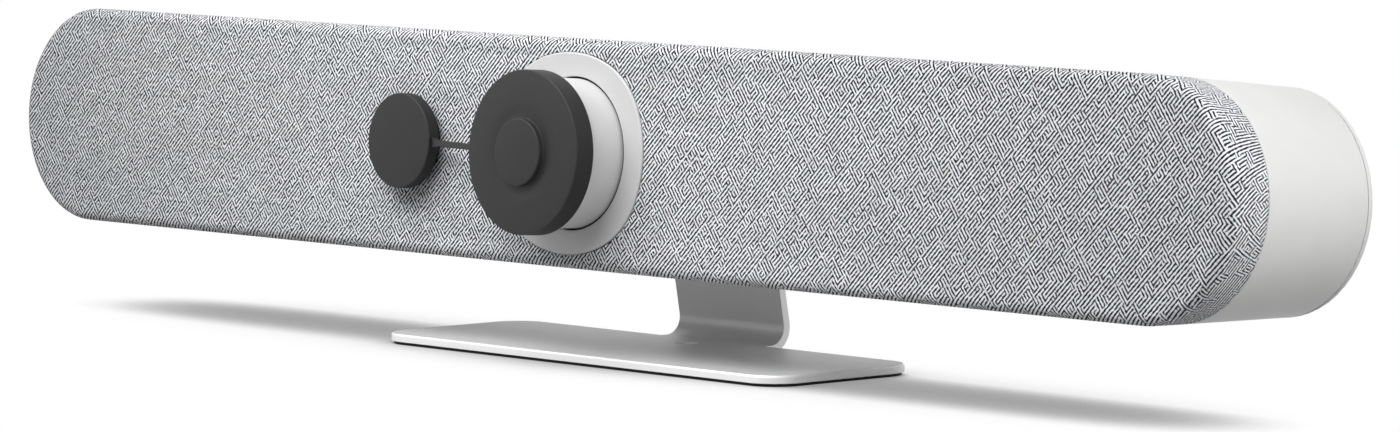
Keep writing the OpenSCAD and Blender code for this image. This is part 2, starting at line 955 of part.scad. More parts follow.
// A toothed arc with a pie shaped web, from one tooth to another
module sector_outline(teeth, pitch_r, first, last) {
    root_r = pitch_r - dedendum;
    step = 360 / teeth;
    far = pitch_r / cos((last - first + 1) * step / 2);
    intersection() {
        circle(r = root_r);
        polygon([
            [0, 0],
            [far * cos((first - 0.5) * step), far * sin((first - 0.5) * step)],
            [far * cos((last + 0.5) * step), far * sin((last + 0.5) * step)]
        ]);
    }
    for (i = [first : last])
        rotate(i * step)
            tooth(pitch_r);
}

module pan_pinion() {
    low = -bracket_z - bracket_t - shaft_sink;
    color(brass)
        in_bar()
            translate([pan_pinion_x, pivot_y + pan_pinion_y, 0]) {
                translate([0, 0, low])
                    cylinder(r = shaft_r, h = -pan_gear_z - low);
                translate([0, 0, -pan_gear_z - gear_t + slip_gap])
                    linear_extrude(height = gear_t - slip_gap)
                        pinion_outline(pan_mesh_angle + 180);
            }
}

module pan_sector() {
    color(metal)
        in_bar()
            translate([0, pivot_y, -pan_gear_z - gear_t])
                linear_extrude(height = gear_t)
                    difference() {
                        union() {
                            sector_outline(pan_teeth, pan_pitch_r, pan_tooth_first, pan_tooth_last);
                            intersection() {
                                circle(r = pan_pitch_r - dedendum);
                                translate([-yoke_plate_x, 0])
                                    square([2 * yoke_plate_x, pan_pitch_r]);
                            }
                        }
                        circle(r = pan_sector_in_r);
                    }
}

module pan_yoke() {
    color(dark_plastic)
        in_bar()
            translate([0, pivot_y, 0])
                difference() {
                    union() {
                        translate([0, 0, -arm_h / 2])
                            linear_extrude(height = arm_h)
                                yoke_outline();
                        for (up = [0, 1])
                            mirror([0, 0, up]) {
                                block(
                                    [-yoke_plate_x, -yoke_front, yoke_plate_z],
                                    [
                                        yoke_plate_x, yoke_cross_y + arm_t,
                                        yoke_plate_z + yoke_plate_t
                                    ]
                                );
                                translate([0, 0, yoke_plate_z])
                                    cylinder(r = pin_r, h = bracket_z + bracket_t - yoke_plate_z);
                            }
                        block(
                            [-yoke_web_x, yoke_cross_y, -yoke_plate_z - yoke_plate_t],
                            [yoke_web_x, yoke_cross_y + arm_t, yoke_plate_z + yoke_plate_t]
                        );
                    }
                    rod_x(arm_hole_r, -arm_out_x - cut, arm_out_x + cut);
                }
}

// Plan of the yoke's arms, from the pivot back to the cross piece
module yoke_outline() {
    inner_half = yoke_cross_half;
    outer_half = yoke_cross_half + arm_t / 2;
    polygon([
        [-arm_out_x, -arm_front], [-arm_x, -arm_front], [-arm_x, yoke_bend_y],
        [-inner_half, yoke_cross_y], [inner_half, yoke_cross_y], [arm_x, yoke_bend_y],
        [arm_x, -arm_front], [arm_out_x, -arm_front], [arm_out_x, yoke_bend_y + arm_t / 2],
        [outer_half, yoke_cross_y + arm_t], [-outer_half, yoke_cross_y + arm_t],
        [-arm_out_x, yoke_bend_y + arm_t / 2]
    ]);
}

module tilt_motor() {
    end_x = tilt_motor_x + tilt_motor_l;
    color(metal)
        in_bar()
            translate([0, pivot_y + tilt_centre, 0])
                difference() {
                    union() {
                        rod_x(tilt_motor_r, tilt_motor_x, end_x);
                        block(
                            [tilt_motor_x, 0, -tilt_motor_r / 2],
                            [end_x - shaft_sink, yoke_cross_y - tilt_centre, tilt_motor_r / 2]
                        );
                    }
                    rod_x(shaft_r + run_gap, end_x - shaft_sink - slip_gap, end_x + cut);
                }
}

module tilt_pinion() {
    start_x = tilt_motor_x + tilt_motor_l - shaft_sink;
    color(brass)
        in_bar()
            translate([0, pivot_y + tilt_centre, 0]) {
                rod_x(shaft_r, start_x, tilt_gear_x + gear_t);
                translate([tilt_gear_x, 0, 0])
                    rotate([0, 90, 0])
                        linear_extrude(height = gear_t)
                            pinion_outline(-90);
            }
}

module tilt_sector() {
    mesh_tooth = tilt_teeth / 4;
    color(metal)
        in_bar()
            translate([tilt_gear_x, pivot_y, 0])
                rotate([0, 90, 0])
                    linear_extrude(height = gear_t)
                        difference() {
                            union() {
                                circle(r = sector_hub_r);
                                sector_outline(
                                    tilt_teeth, tilt_pitch_r, mesh_tooth - tilt_tooth_span,
                                    mesh_tooth + tilt_tooth_span
                                );
                            }
                            circle(r = pin_r + fit_gap);
                        }
}

module head_shell() {
    color(dark_plastic)
        in_bar()
            translate([0, pivot_y, 0])
                difference() {
                    union() {
                        intersection() {
                            sphere(r = ball_r);
                            cube([2 * flat_x, 2 * ball_r, 2 * ball_r], center = true);
                        }
                        rod_x(pin_r, -arm_out_x, -flat_x + cut);
                        rod_x(pin_r, flat_x - cut, arm_out_x);
                    }
                    intersection() {
                        sphere(r = ball_r - ball_wall);
                        cube(
                            [2 * (flat_x - ball_wall), 2 * ball_r, 2 * ball_r],
                            center = true
                        );
                    }
                    rod_y(window_r + fit_gap, -ball_r - cut, 0);
                    rod_y(sensor_r + fit_gap, 0, ball_r + cut);
                }
}

module head_window() {
    color(glass_dark)
        in_bar()
            translate([0, pivot_y, 0])
                intersection() {
                    sphere(r = ball_r);
                    rod_y(window_r, -ball_r - cut, -window_back);
                }
}

module lens_tube() {
    color(metal)
        in_bar()
            translate([0, pivot_y, 0])
                tube_y(tube_bore_r + tube_wall, tube_bore_r, -window_back, head_back_y);
}

module sensor_board() {
    color(board_green)
        in_bar()
            translate([0, pivot_y, 0])
                rod_y(sensor_r, head_back_y, head_back_y + board_t);
}

// A lens group: a cell ring that runs in the lens tube with its glass
module lens_group(y, length) {
    cell_r = tube_bore_r - run_gap;
    in_bar()
        translate([0, pivot_y + y, 0]) {
            tube_y(cell_r, cell_r - cell_wall, 0, length);
            rod_y(cell_r - cell_wall, length / 4, length - length / 4);
        }
}

module zoom_group() {
    color(glass_dark)
        lens_group(zoom_y - zoom_l / 2, zoom_l);
}

module focus_group() {
    color(glass_dark)
        lens_group(focus_y - focus_l / 2, focus_l);
}

module speaker_box(side) {
    half = box_h / 2;
    low_x = side > 0 ? box_x0 : -box_x1;
    color(dark_plastic)
        in_bar()
            difference() {
                block([low_x, baffle_back_y, -half], [low_x + box_x1 - box_x0, box_back_y, half]);
                block(
                    [low_x + box_wall, baffle_back_y - cut, box_wall - half],
                    [low_x + box_x1 - box_x0 - box_wall, box_back_y - box_wall, half - box_wall]
                );
                wall_hole(side * radiator_x, radiator_hole_r, box_back_y - box_wall, box_back_y);
            }
}

module speaker_box_left() speaker_box(left);
module speaker_box_right() speaker_box(right);

// A woofer basket: flange, neck, windowed cone and back plate
module woofer_basket(side) {
    neck_y = baffle_back_y + basket_neck_d;
    color(metal)
        in_bar()
            translate([side * woofer_x, 0, 0])
                difference() {
                    turned()
                        polygon([
                            [basket_neck_r - basket_wall, clamp_y],
                            [woofer_r, clamp_y],
                            [woofer_r, baffle_y],
                            [basket_neck_r, baffle_y],
                            [basket_neck_r, neck_y],
                            [magnet_r, basket_y],
                            [spider_hole_r, basket_y],
                            [spider_hole_r, basket_y - clamp_t],
                            [magnet_r - clamp_t, basket_y - clamp_t],
                            [basket_neck_r - basket_wall, neck_y]
                        ]);
                    for (turn = [0, 90])
                        rotate([0, turn, 0])
                            block(
                                [-basket_neck_r - cut, baffle_back_y + basket_wall, -basket_window_w / 2],
                                [
                                    basket_neck_r + cut, basket_y - clamp_t - basket_wall,
                                    basket_window_w / 2
                                ]
                            );
                }
}

module woofer_basket_left() woofer_basket(left);
module woofer_basket_right() woofer_basket(right);

module woofer_magnet(side) {
    color(dark_plastic)
        in_bar()
            translate([side * woofer_x, 0, 0])
                difference() {
                    rod_y(magnet_r, basket_y, basket_y + magnet_l);
                    tube_y(
                        coil_r + coil_wall / 2 + coil_gap,
                        coil_r - coil_wall / 2 - coil_gap,
                        basket_y - cut,
                        basket_y + magnet_l - magnet_floor
                    );
                }
}

module woofer_magnet_left() woofer_magnet(left);
module woofer_magnet_right() woofer_magnet(right);

// A half roll surround round a plate or cone, standing towards -y
module surround(mid_r, outer_r) {
    turned() {
        difference() {
            translate([mid_r, 0])
                circle(r = roll_r);
            translate([mid_r, 0])
                circle(r = roll_r - roll_t);
            translate([mid_r - roll_r - cut, 0])
                square([2 * (roll_r + cut), roll_r + cut]);
        }
        translate([mid_r + roll_r - roll_t, -roll_t])
            square([outer_r - mid_r - roll_r + roll_t, roll_t]);
    }
}

module woofer_surround(side) {
    color(rubber_grey)
        in_bar()
            translate([side * woofer_x, clamp_y, 0])
                surround(roll_mid_r, woofer_r - clamp_t);
}

module woofer_surround_left() woofer_surround(left);
module woofer_surround_right() woofer_surround(right);

module woofer_cone(side) {
    coil_out = coil_r + coil_wall / 2;
    coil_in = coil_r - coil_wall / 2;
    slope = (cone_r - coil_out) / (cone_back_y - clamp_y);
    dust_cap_r = coil_out + (dust_cap_h - cone_t) * slope - cone_t / 2;
    color(rubber_grey)
        in_bar()
            translate([side * woofer_x, 0, 0])
                turned() {
                    polygon([
                        [cone_r - 2 * cone_t, clamp_y],
                        [cone_r, clamp_y],
                        [coil_out, cone_back_y],
                        [coil_out, coil_end_y],
                        [coil_in, coil_end_y],
                        [coil_in, cone_back_y - cone_t]
                    ]);
                    translate([0, cone_back_y - dust_cap_h])
                        square([dust_cap_r, cone_t]);
                }
}

module woofer_cone_left() woofer_cone(left);
module woofer_cone_right() woofer_cone(right);

module radiator_rings() {
    color(metal)
        in_bar()
            for (side = [left, right])
                translate([side * radiator_x, 0, 0]) {
                    tube_y(radiator_r, clamp_in_r, clamp_y, baffle_y);
                    tube_y(radiator_r, clamp_in_r, box_back_y, box_back_y + clamp_t);
                }
}

module radiator_surrounds(side) {
    color(rubber_grey)
        in_bar()
            translate([side * radiator_x, 0, 0]) {
                translate([0, clamp_y, 0])
                    surround(rad_roll_mid_r, radiator_r - clamp_t);
                translate([0, box_back_y + clamp_t, 0])
                    mirror([0, 1, 0])
                        surround(rad_roll_mid_r, radiator_r - clamp_t);
            }
}

module radiator_surrounds_left() radiator_surrounds(left);
module radiator_surrounds_right() radiator_surrounds(right);

// A radiator plate with its weight behind it, seen from outside
module radiator_plate() {
    rod_y(plate_r, 0, plate_t);
    rod_y(plate_weight_r, 0, plate_t + plate_weight_t);
}

module radiator_front(side) {
    color(rubber_grey)
        in_bar()
            translate([side * radiator_x, clamp_y, 0])
                radiator_plate();
}

module radiator_rear(side) {
    color(rubber_grey)
        in_bar()
            translate([side * radiator_x, box_back_y + clamp_t, 0])
                mirror([0, 1, 0])
                    radiator_plate();
}

module radiator_front_left() radiator_front(left);
module radiator_front_right() radiator_front(right);
module radiator_rear_left() radiator_rear(left);
module radiator_rear_right() radiator_rear(right);

module main_board() {
    color(board_green)
        in_bar()
            difference() {
                block([-board_x, board_y, -board_h / 2], [board_x, board_back_y, board_h / 2]);
                block(
                    [-board_hole_x, board_y - cut, -board_hole_z],
                    [board_hole_x, board_back_y + cut, board_hole_z]
                );
            }
}

module heat_sink() {
    fins = floor((sink_x1 - sink_x0 - fin_t) / fin_pitch);
    color(metal)
        in_bar() {
            block(
                [sink_x0, board_back_y, -sink_h / 2],
                [sink_x1, board_back_y + sink_base_t, sink_h / 2]
            );
            for (i = [0 : fins])
                translate([sink_x0 + i * fin_pitch, board_back_y, -sink_h / 2])
                    cube([fin_t, sink_d, sink_h]);
        }
}

module mic_strips() {
    color(board_green)
        in_bar()
            for (side = [0, 1])
                mirror([side, 0, 0])
                    block(
                        [strip_x0, baffle_y - board_t, strip_z - strip_h / 2],
                        [strip_x0 + mic_strip_w, baffle_y, strip_z + strip_h / 2]
                    );
}

module mic_boots() {
    color(rubber_grey)
        in_bar()
            for (side = [left, right])
                for (i = [0 : boots_per_strip - 1])
                    translate([
                        side * (strip_x0 + mic_strip_w * (i + 0.5) / boots_per_strip), 0,
                        strip_z - boot_r / 2
                    ])
                        rod_y(boot_r, frame_y, baffle_y - board_t);
}

// The places of the sockets on the port panel, as x offsets from the bay's centre
module port_places(xs, z) {
    for (x = xs)
        translate([bay_x + x, 0, z])
            children();
}

// A block centred on an axis along y
module socket_block(width, height, y0, y1) {
    block([-width / 2, y0, -height / 2], [width / 2, y1, height / 2]);
}

// A socket shell with a contact tongue inside
module socket(width, height, tongue) {
    difference() {
        socket_block(width + 2 * port_wall, height + 2 * port_wall, board_back_y, panel_y);
        socket_block(width, height, board_back_y + port_wall, panel_y + cut);
    }
    if (tongue)
        socket_block(width * tongue_share, tongue_t, board_back_y, panel_y - port_wall);
}

// The cut-out that a socket needs in the port panel
module socket_hole(width, height) {
    around = 2 * (port_wall + port_gap);
    socket_block(width + around, height + around, panel_y - bay_wall - cut, panel_y + cut);
}

module port_panel() {
    outer = [bay_w + 2 * bay_wall, bay_h + 2 * bay_wall];
    color(dark_plastic)
        in_bar()
            difference() {
                translate([bay_x, 0, bay_z])
                    socket_block(outer[0], outer[1], panel_y - bay_wall, seam_y);
                translate([bay_x, 0, bay_z])
                    socket_block(bay_w, bay_h, panel_y, seam_y + cut);
                port_places(video_xs, upper_z) socket_hole(video_w, video_h);
                port_places(usb_a_xs, lower_z) socket_hole(usb_a_w, usb_a_h);
                port_places([usb_c_x], lower_z) socket_hole(usb_c_w, usb_c_h);
                port_places(net_xs, lower_z) socket_hole(net_w, net_h);
                port_places([power_x], upper_z)
                    rod_y(
                        power_r + port_wall + port_gap, panel_y - bay_wall - cut, panel_y + cut
                    );
                port_places([button_x], upper_z)
                    rod_y(button_r + slip_gap, panel_y - bay_wall - cut, panel_y + cut);
            }
}

module power_inlet() {
    color(dark_plastic)
        in_bar()
            port_places([power_x], upper_z)
                difference() {
                    rod_y(power_r + port_wall, board_back_y, panel_y);
                    rod_y(power_r, board_back_y + port_wall, panel_y + cut);
                }
}

module video_ports() {
    color(metal)
        in_bar()
            port_places(video_xs, upper_z) socket(video_w, video_h, true);
}

module usb_ports() {
    color(metal)
        in_bar() {
            port_places(usb_a_xs, lower_z) socket(usb_a_w, usb_a_h, true);
            port_places([usb_c_x], lower_z) socket(usb_c_w, usb_c_h, true);
        }
}

module network_ports() {
    color(metal)
        in_bar()
            port_places(net_xs, lower_z) socket(net_w, net_h, false);
}

module pairing_button() {
    color(rubber_grey)
        in_bar()
            port_places([button_x], upper_z) {
                rod_y(
                    button_r, panel_y - bay_wall - button_head_l,
                    panel_y + button_travel
                );
                rod_y(
                    button_stem_r, board_back_y + button_travel + slip_gap, panel_y - bay_wall
                );
            }
}

module cover_screws() {
    color(metal)
        in_bar()
            cover_screw_places() {
                rod_y(cover_head_r, bar_d - cover_head_t, bar_d);
                rod_y(cover_screw_r, seam_y - cover_screw_l, bar_d - cover_head_t);
            }
}

// A rectangle with round corners, extruded, with a chamfered top edge
module rounded_plate(width, depth, thick, corner, chamfer) {
    for (x = [left, right])
        for (y = [left, right])
            translate([x * (width / 2 - corner), y * (depth / 2 - corner), 0])
                rotate_extrude()
                    polygon([
                        [0, 0], [corner, 0], [corner, thick - chamfer],
                        [corner - chamfer, thick], [0, thick]
                    ]);
    rotate([90, 0, 90])
        plate_bar(depth, width - 2 * corner, thick, chamfer);
    rotate([90, 0, 0])
        plate_bar(width, depth - 2 * corner, thick, chamfer);
}

// A bar with two chamfered top edges, its section in the xy plane
module plate_bar(section_w, length, thick, chamfer) {
    half = section_w / 2;
    linear_extrude(height = length, center = true)
        polygon([
            [-half, 0], [half, 0], [half, thick - chamfer],
            [half - chamfer, thick], [chamfer - half, thick], [-half, thick - chamfer]
        ]);
}

// Points on an arc round a centre, from one angle to another
function arc_points(centre, r, from, to) = [
    for (i = [0 : bend_steps])
        let (angle = from + (to - from) * i / bend_steps)
            centre + r * [cos(angle), sin(angle)]
];

// Side outline of the bent strip: its front face on the way up, its rear face on the way down
module strip_outline() {
    start_y = plate_d / 2 - plate_corner_r;
    outer_r = bend_r + sheet_t;
    foot_centre = [foot_y - foot_tangent, plate_top_z + bend_r];
    tongue_way = [cos(foot_angle), sin(foot_angle)];
    tongue_back = [sin(foot_angle), -cos(foot_angle)];
    tab_centre = foot_centre + bend_r * tongue_back + tongue_l * tongue_way + outer_r * tongue_back;
    tab_from = foot_angle + 90;
    tab_to = tab_from - tab_angle;
    tab_way = [sin(tab_to), -cos(tab_to)];
    tab_face = [cos(tab_to), sin(tab_to)];
    polygon(concat(
        [[start_y, plate_top_z]],
        arc_points(foot_centre, bend_r, -90, foot_angle - 90),
        arc_points(tab_centre, outer_r, tab_from, tab_to),
        [
            tab_centre + outer_r * tab_face + tab_l * tab_way,
            tab_centre + bend_r * tab_face + tab_l * tab_way
        ],
        arc_points(tab_centre, bend_r, tab_to, tab_from),
        arc_points(foot_centre, outer_r, foot_angle - 90, -90),
        [[start_y, pad_t]]
    ));
}

module stand_bracket() {
    color(metal)
        difference() {
            union() {
                translate([0, 0, pad_t])
                    rounded_plate(plate_w, plate_d, sheet_t, plate_corner_r, plate_chamfer);
                rotate([90, 0, 90])
                    linear_extrude(height = tongue_w, center = true)
                        strip_outline();
            }
            translate([0, plate_d / 2 - plate_hole_inset, pad_t - cut])
                cylinder(r = plate_hole_r, h = sheet_t + 2 * cut);
            in_bar()
                stand_screw_places()
                    rod_y(stand_screw_r + screw_gap, bar_d - cut, bar_d + sheet_t + cut);
        }
}

module stand_pad() {
    color(dark_plastic)
        difference() {
            rounded_plate(
                plate_w - 2 * pad_inset, plate_d - 2 * pad_inset, pad_t,
                plate_corner_r - pad_inset, 0
            );
            translate([0, plate_d / 2 - plate_hole_inset, -cut])
                cylinder(r = plate_hole_r + pad_inset, h = pad_t + 2 * cut);
        }
}

module stand_screws() {
    back = bar_d + sheet_t;
    color(metal)
        in_bar()
            stand_screw_places() {
                rod_y(stand_head_r, back, back + stand_head_t);
                rod_y(stand_screw_r, seam_y - stand_boss_l, back + cut);
            }
}

rear_housing();
rear_cover();
grille_frame();
grille_fabric();
front_baffle();
lens_trim_ring();
lens_barrel();
barrel_gasket();
main_cap();
small_cap();
cap_tether();
viewfinder_housing();
viewfinder_window();
viewfinder_camera();
camera_bracket();
pan_motor();
pan_pinion();
pan_yoke();
pan_sector();
tilt_motor();
tilt_pinion();
head_shell();
tilt_sector();
head_window();
lens_tube();
sensor_board();
zoom_group();
focus_group();
speaker_box_left();
speaker_box_right();
woofer_basket_left();
woofer_basket_right();
woofer_magnet_left();
woofer_magnet_right();
woofer_surround_left();
woofer_surround_right();
woofer_cone_left();
woofer_cone_right();
radiator_rings();
radiator_surrounds_left();
radiator_surrounds_right();
radiator_front_left();
radiator_front_right();
radiator_rear_left();
radiator_rear_right();
main_board();
heat_sink();
mic_strips();
mic_boots();
port_panel();
power_inlet();
video_ports();
usb_ports();
network_ports();
pairing_button();
cover_screws();
stand_bracket();
stand_pad();
stand_screws();
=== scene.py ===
import json
import logging
import math
from dataclasses import dataclass
from enum import Enum
from typing import ClassVar, Iterable, Union

import bmesh
import bpy
from bmesh.types import BMEdge, BMesh, BMFace, BMVert
from mathutils import Matrix, Vector


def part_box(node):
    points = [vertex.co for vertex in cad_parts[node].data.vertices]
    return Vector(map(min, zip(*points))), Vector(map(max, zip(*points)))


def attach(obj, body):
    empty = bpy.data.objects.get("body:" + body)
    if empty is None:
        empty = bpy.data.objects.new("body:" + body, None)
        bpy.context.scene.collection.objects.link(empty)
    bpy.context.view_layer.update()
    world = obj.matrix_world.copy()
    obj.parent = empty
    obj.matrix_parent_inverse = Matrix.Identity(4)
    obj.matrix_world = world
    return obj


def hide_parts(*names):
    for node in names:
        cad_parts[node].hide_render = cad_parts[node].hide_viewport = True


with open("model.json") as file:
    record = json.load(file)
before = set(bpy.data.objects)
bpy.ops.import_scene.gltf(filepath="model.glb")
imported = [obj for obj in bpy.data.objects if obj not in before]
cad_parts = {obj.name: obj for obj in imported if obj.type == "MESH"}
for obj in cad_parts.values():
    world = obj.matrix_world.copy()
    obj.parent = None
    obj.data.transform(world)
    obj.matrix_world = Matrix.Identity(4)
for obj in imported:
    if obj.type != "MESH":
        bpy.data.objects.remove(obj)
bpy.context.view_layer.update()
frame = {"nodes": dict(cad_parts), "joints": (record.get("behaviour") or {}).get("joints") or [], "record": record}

LOG = logging.getLogger("video_bar")
MM = 0.001
WELD = 1e-4
FULL_TURN = 2 * math.pi
HALF_TURN = math.pi
QUARTER_TURN = math.pi / 2
LATHE_STEPS = 128
END_STEPS = 48
ARC_STEPS = 5
SHARP_ANGLE = math.radians(38)

Colour = tuple[float, float, float]
Paint = tuple[float, float, float, float]
Span = tuple[float, float]
Socket = bpy.types.NodeSocket
Wired = Union[float, tuple, Socket]
Inputs = dict[Union[str, int], Wired]

WHITE: Paint = (1, 1, 1, 1)
BLACK: Paint = (0, 0, 0, 1)
NOISE_BAND: Span = (0.3, 0.7)
NOISE_MIDDLE = 0.5
WHOLE: Span = (0, 1)
FINE_DETAIL = 3
BROAD_DETAIL = 2
PLAIN_DETAIL = 1
EDGE_SAMPLES = 4


class Body(Enum):
    """The moving bodies that new pieces ride on."""

    HOUSING = "housing"
    CAPS = "lens_caps"


class Coordinates(Enum):
    """Where a pattern reads its place from."""

    OBJECT = "Object"
    CLOTH = "UV"


def shade(code: str) -> Colour:
    """Turns a colour as it is seen on a screen into the renderer's linear values.

    Args:
        code: Six hexadecimal digits, two each for red, green and blue.

    Returns:
        The linear red, green and blue.
    """
    seen = [int(code[i : i + 2], 16) / 255 for i in (0, 2, 4)]
    return tuple(c / 12.92 if c <= 0.04045 else ((c + 0.055) / 1.055) ** 2.4 for c in seen)


def paint(code: str, share: float = 1.0) -> Paint:
    """Gives a colour as a node's socket takes it.

    Args:
        code: The colour's six hexadecimal digits.
        share: The share of its light that it keeps.

    Returns:
        The linear red, green and blue, and full cover.
    """
    return (*(c * share for c in shade(code)), 1)


class Graph:
    """Wires the nodes of one node tree."""

    def __init__(self, tree: bpy.types.NodeTree) -> None:
        """Takes the tree to wire."""
        self.tree = tree

    def add(self, kind: str, wired: Inputs | None = None, **settings: object) -> bpy.types.Node:
        """Adds a node.

        Args:
            kind: Blender's name for the kind of node.
            wired: A value or another node's output for each input.
            settings: The node's own settings.

        Returns:
            The node.
        """
        node = self.tree.nodes.new(kind)
        for key, value in settings.items():
            setattr(node, key, value)
        for key, value in (wired or {}).items():
            self.feed(node.inputs[key], value)
        return node

    def join(self, start: Socket, end: Socket) -> None:
        """Links an output to an input."""
        self.tree.links.new(start, end)

    def feed(self, end: Socket, value: Wired) -> None:
        """Gives an input its value.

        Args:
            end: The input.
            value: A plain value, or another node's output, which is linked to it.
        """
        if isinstance(value, Socket):
            self.join(value, end)
        else:
            end.default_value = value

    def sum_of(self, how: str, *values: Wired) -> Socket:
        """Works one sum with a Math node and returns its output."""
        return self.add("ShaderNodeMath", dict(enumerate(values)), operation=how).outputs[0]

    def axes_of(self, vector: Socket) -> bpy.types.bpy_prop_collection:
        """Splits a vector and returns the outputs of its three axes."""
        return self.add("ShaderNodeSeparateXYZ", {"Vector": vector}).outputs

    def seen(self) -> Socket:
        """Tells the rays that look at the object from the light that reaches it.

        Returns:
            The output that is 1 to a camera, mirror or glass ray, and 0 to any other.
        """
        path = self.add("ShaderNodeLightPath").outputs
        shown = self.sum_of("MAXIMUM", path["Is Camera Ray"], path["Is Glossy Ray"])
        return self.sum_of("MAXIMUM", shown, path["Is Transmission Ray"])

    def place(self, source: Coordinates, stretch: tuple = (1, 1, 1)) -> Socket:
        """Gives the place of a point, in millimetres.

        Args:
            source: Which coordinates are read.
            stretch: How much the pattern is compressed along each axis.

        Returns:
            The output that carries the place.
        """
        point = self.add("ShaderNodeTexCoord").outputs[source.value]
        scale = tuple(s / MM for s in stretch)
        return self.add("ShaderNodeMapping", {"Vector": point, "Scale": scale}).outputs[0]

    def noise(self, place: Socket, size: float, detail: float = BROAD_DETAIL) -> Socket:
        """Gives smooth noise whose features are about size millimetres across."""
        wired = {"Vector": place, "Scale": 1 / size, "Detail": detail}
        return self.add("ShaderNodeTexNoise", wired).outputs[0]

    def ramp(self, value: Socket, span: Span, result: Span = WHOLE) -> Socket:
        """Maps one span to another smoothly.

        Args:
            value: The output to map.
            span: The values that become the ends of the result.
            result: What they become.

        Returns:
            The mapped output.
        """
        wired = {
            "Value": value, "From Min": span[0], "From Max": span[1],
            "To Min": result[0], "To Max": result[1],
        }
        return self.add("ShaderNodeMapRange", wired, interpolation_type="SMOOTHSTEP").outputs[0]

    def blend(self, share: Wired, first: Wired, second: Wired) -> Socket:
        """Mixes two colours.

        Args:
            share: The second colour's share.
            first: The first colour.
            second: The second colour.

        Returns:
            The output that carries the mixed colour.
        """
        node = self.add("ShaderNodeMix", data_type="RGBA")
        ends = {s.identifier: s for s in node.inputs}
        for key, value in (("Factor_Float", share), ("A_Color", first), ("B_Color", second)):
            self.feed(ends[key], value)
        return {s.identifier: s for s in node.outputs}["Result_Color"]


class Skin(Graph):
    """Wires a new material round one surface shader."""

    def __init__(self, name: str, kind: str = "ShaderNodeBsdfPrincipled") -> None:
        """Starts a material with its surface shader.

        Args:
            name: The material's name.
            kind: Blender's name for the kind of shader.
        """
        self.material = bpy.data.materials.new(name)
        self.material.use_nodes = True
        super().__init__(self.material.node_tree)
        self.tree.nodes.clear()
        self.surface = self.add(kind)
        output = self.add("ShaderNodeOutputMaterial")
        self.join(self.surface.outputs[0], output.inputs["Surface"])

    def tint(self, share: Wired, first: Wired, second: Wired) -> None:
        """Colours the surface with a mix of two colours."""
        self.join(self.blend(share, first, second), self.surface.inputs["Base Color"])

    def gloss(self, value: Socket, roughness: float, swing: float) -> None:
        """Varies the surface's roughness.

        Args:
            value: The noise that it follows.
            roughness: Its middle.
            swing: How far it strays, as a share of the middle.
        """
        result = (roughness * (1 - swing), roughness * (1 + swing))
        self.join(self.ramp(value, NOISE_BAND, result), self.surface.inputs["Roughness"])

    def relief(self, height: Socket, depth: float, edge: float = 0) -> None:
        """Gives the surface a relief and soft edges.

        Args:
            height: The output that carries the height, 0 to 1.
            depth: The relief's depth in millimetres.
            edge: The radius of the soft edges in millimetres.
        """
        bump = self.add("ShaderNodeBump", {"Height": height, "Distance": depth * MM, "Strength": 1.0})
        if edge:
            soft = self.add("ShaderNodeBevel", {"Radius": edge * MM}, samples=EDGE_SAMPLES)
            self.join(soft.outputs[0], bump.inputs["Normal"])
        self.join(bump.outputs[0], self.surface.inputs["Normal"])

    def set(self, **values: object) -> None:
        """Sets the surface shader's own sockets, written with _ for spaces."""
        for key, value in values.items():
            self.surface.inputs[key.replace("_", " ")].default_value = value


@dataclass(frozen=True)
class Moulded:
    """A moulded plastic or rubber with the fine grain of its mould."""

    name: str
    colour: str
    roughness: float
    grain: float = 0.5
    depth: float = 0.02
    mottle: float = 0.04
    mottle_grains: float = 40.0
    swing: float = 0.08
    edge: float = 0.25
    metallic: float = 0.0
    shine: float = 0.5

    def make(self) -> bpy.types.Material:
        """Makes the finish.

        Returns:
            Its material.
        """
        graph = Skin(self.name)
        place = graph.place(Coordinates.OBJECT)
        fine = graph.noise(place, self.grain, FINE_DETAIL)
        broad = graph.noise(place, self.mottle_grains * self.grain)
        dim = paint(self.colour, 1 - self.mottle)
        graph.tint(graph.ramp(broad, NOISE_BAND), dim, paint(self.colour))
        graph.gloss(fine, self.roughness, self.swing)
        graph.set(Metallic=self.metallic, Specular_IOR_Level=self.shine)
        graph.relief(fine, self.depth, self.edge)
        return graph.material


@dataclass(frozen=True)
class Brushed:
    """A metal with fine streaks along one axis."""

    name: str
    colour: str
    roughness: float
    streak: tuple[float, float, float] = (0.05, 1.0, 1.0)
    line: float = 0.3
    dimmed: float = 0.8
    swing: float = 0.2
    depth: float = 0.006
    edge: float = 0.2

    def make(self) -> bpy.types.Material:
        """Makes the finish.

        Returns:
            Its material.
        """
        graph = Skin(self.name)
        lines = graph.noise(graph.place(Coordinates.OBJECT, self.streak), self.line, FINE_DETAIL)
        graph.tint(graph.ramp(lines, NOISE_BAND), paint(self.colour, self.dimmed), paint(self.colour))
        graph.gloss(lines, self.roughness, self.swing)
        graph.set(Metallic=1.0)
        graph.relief(lines, self.depth, self.edge)
        return graph.material


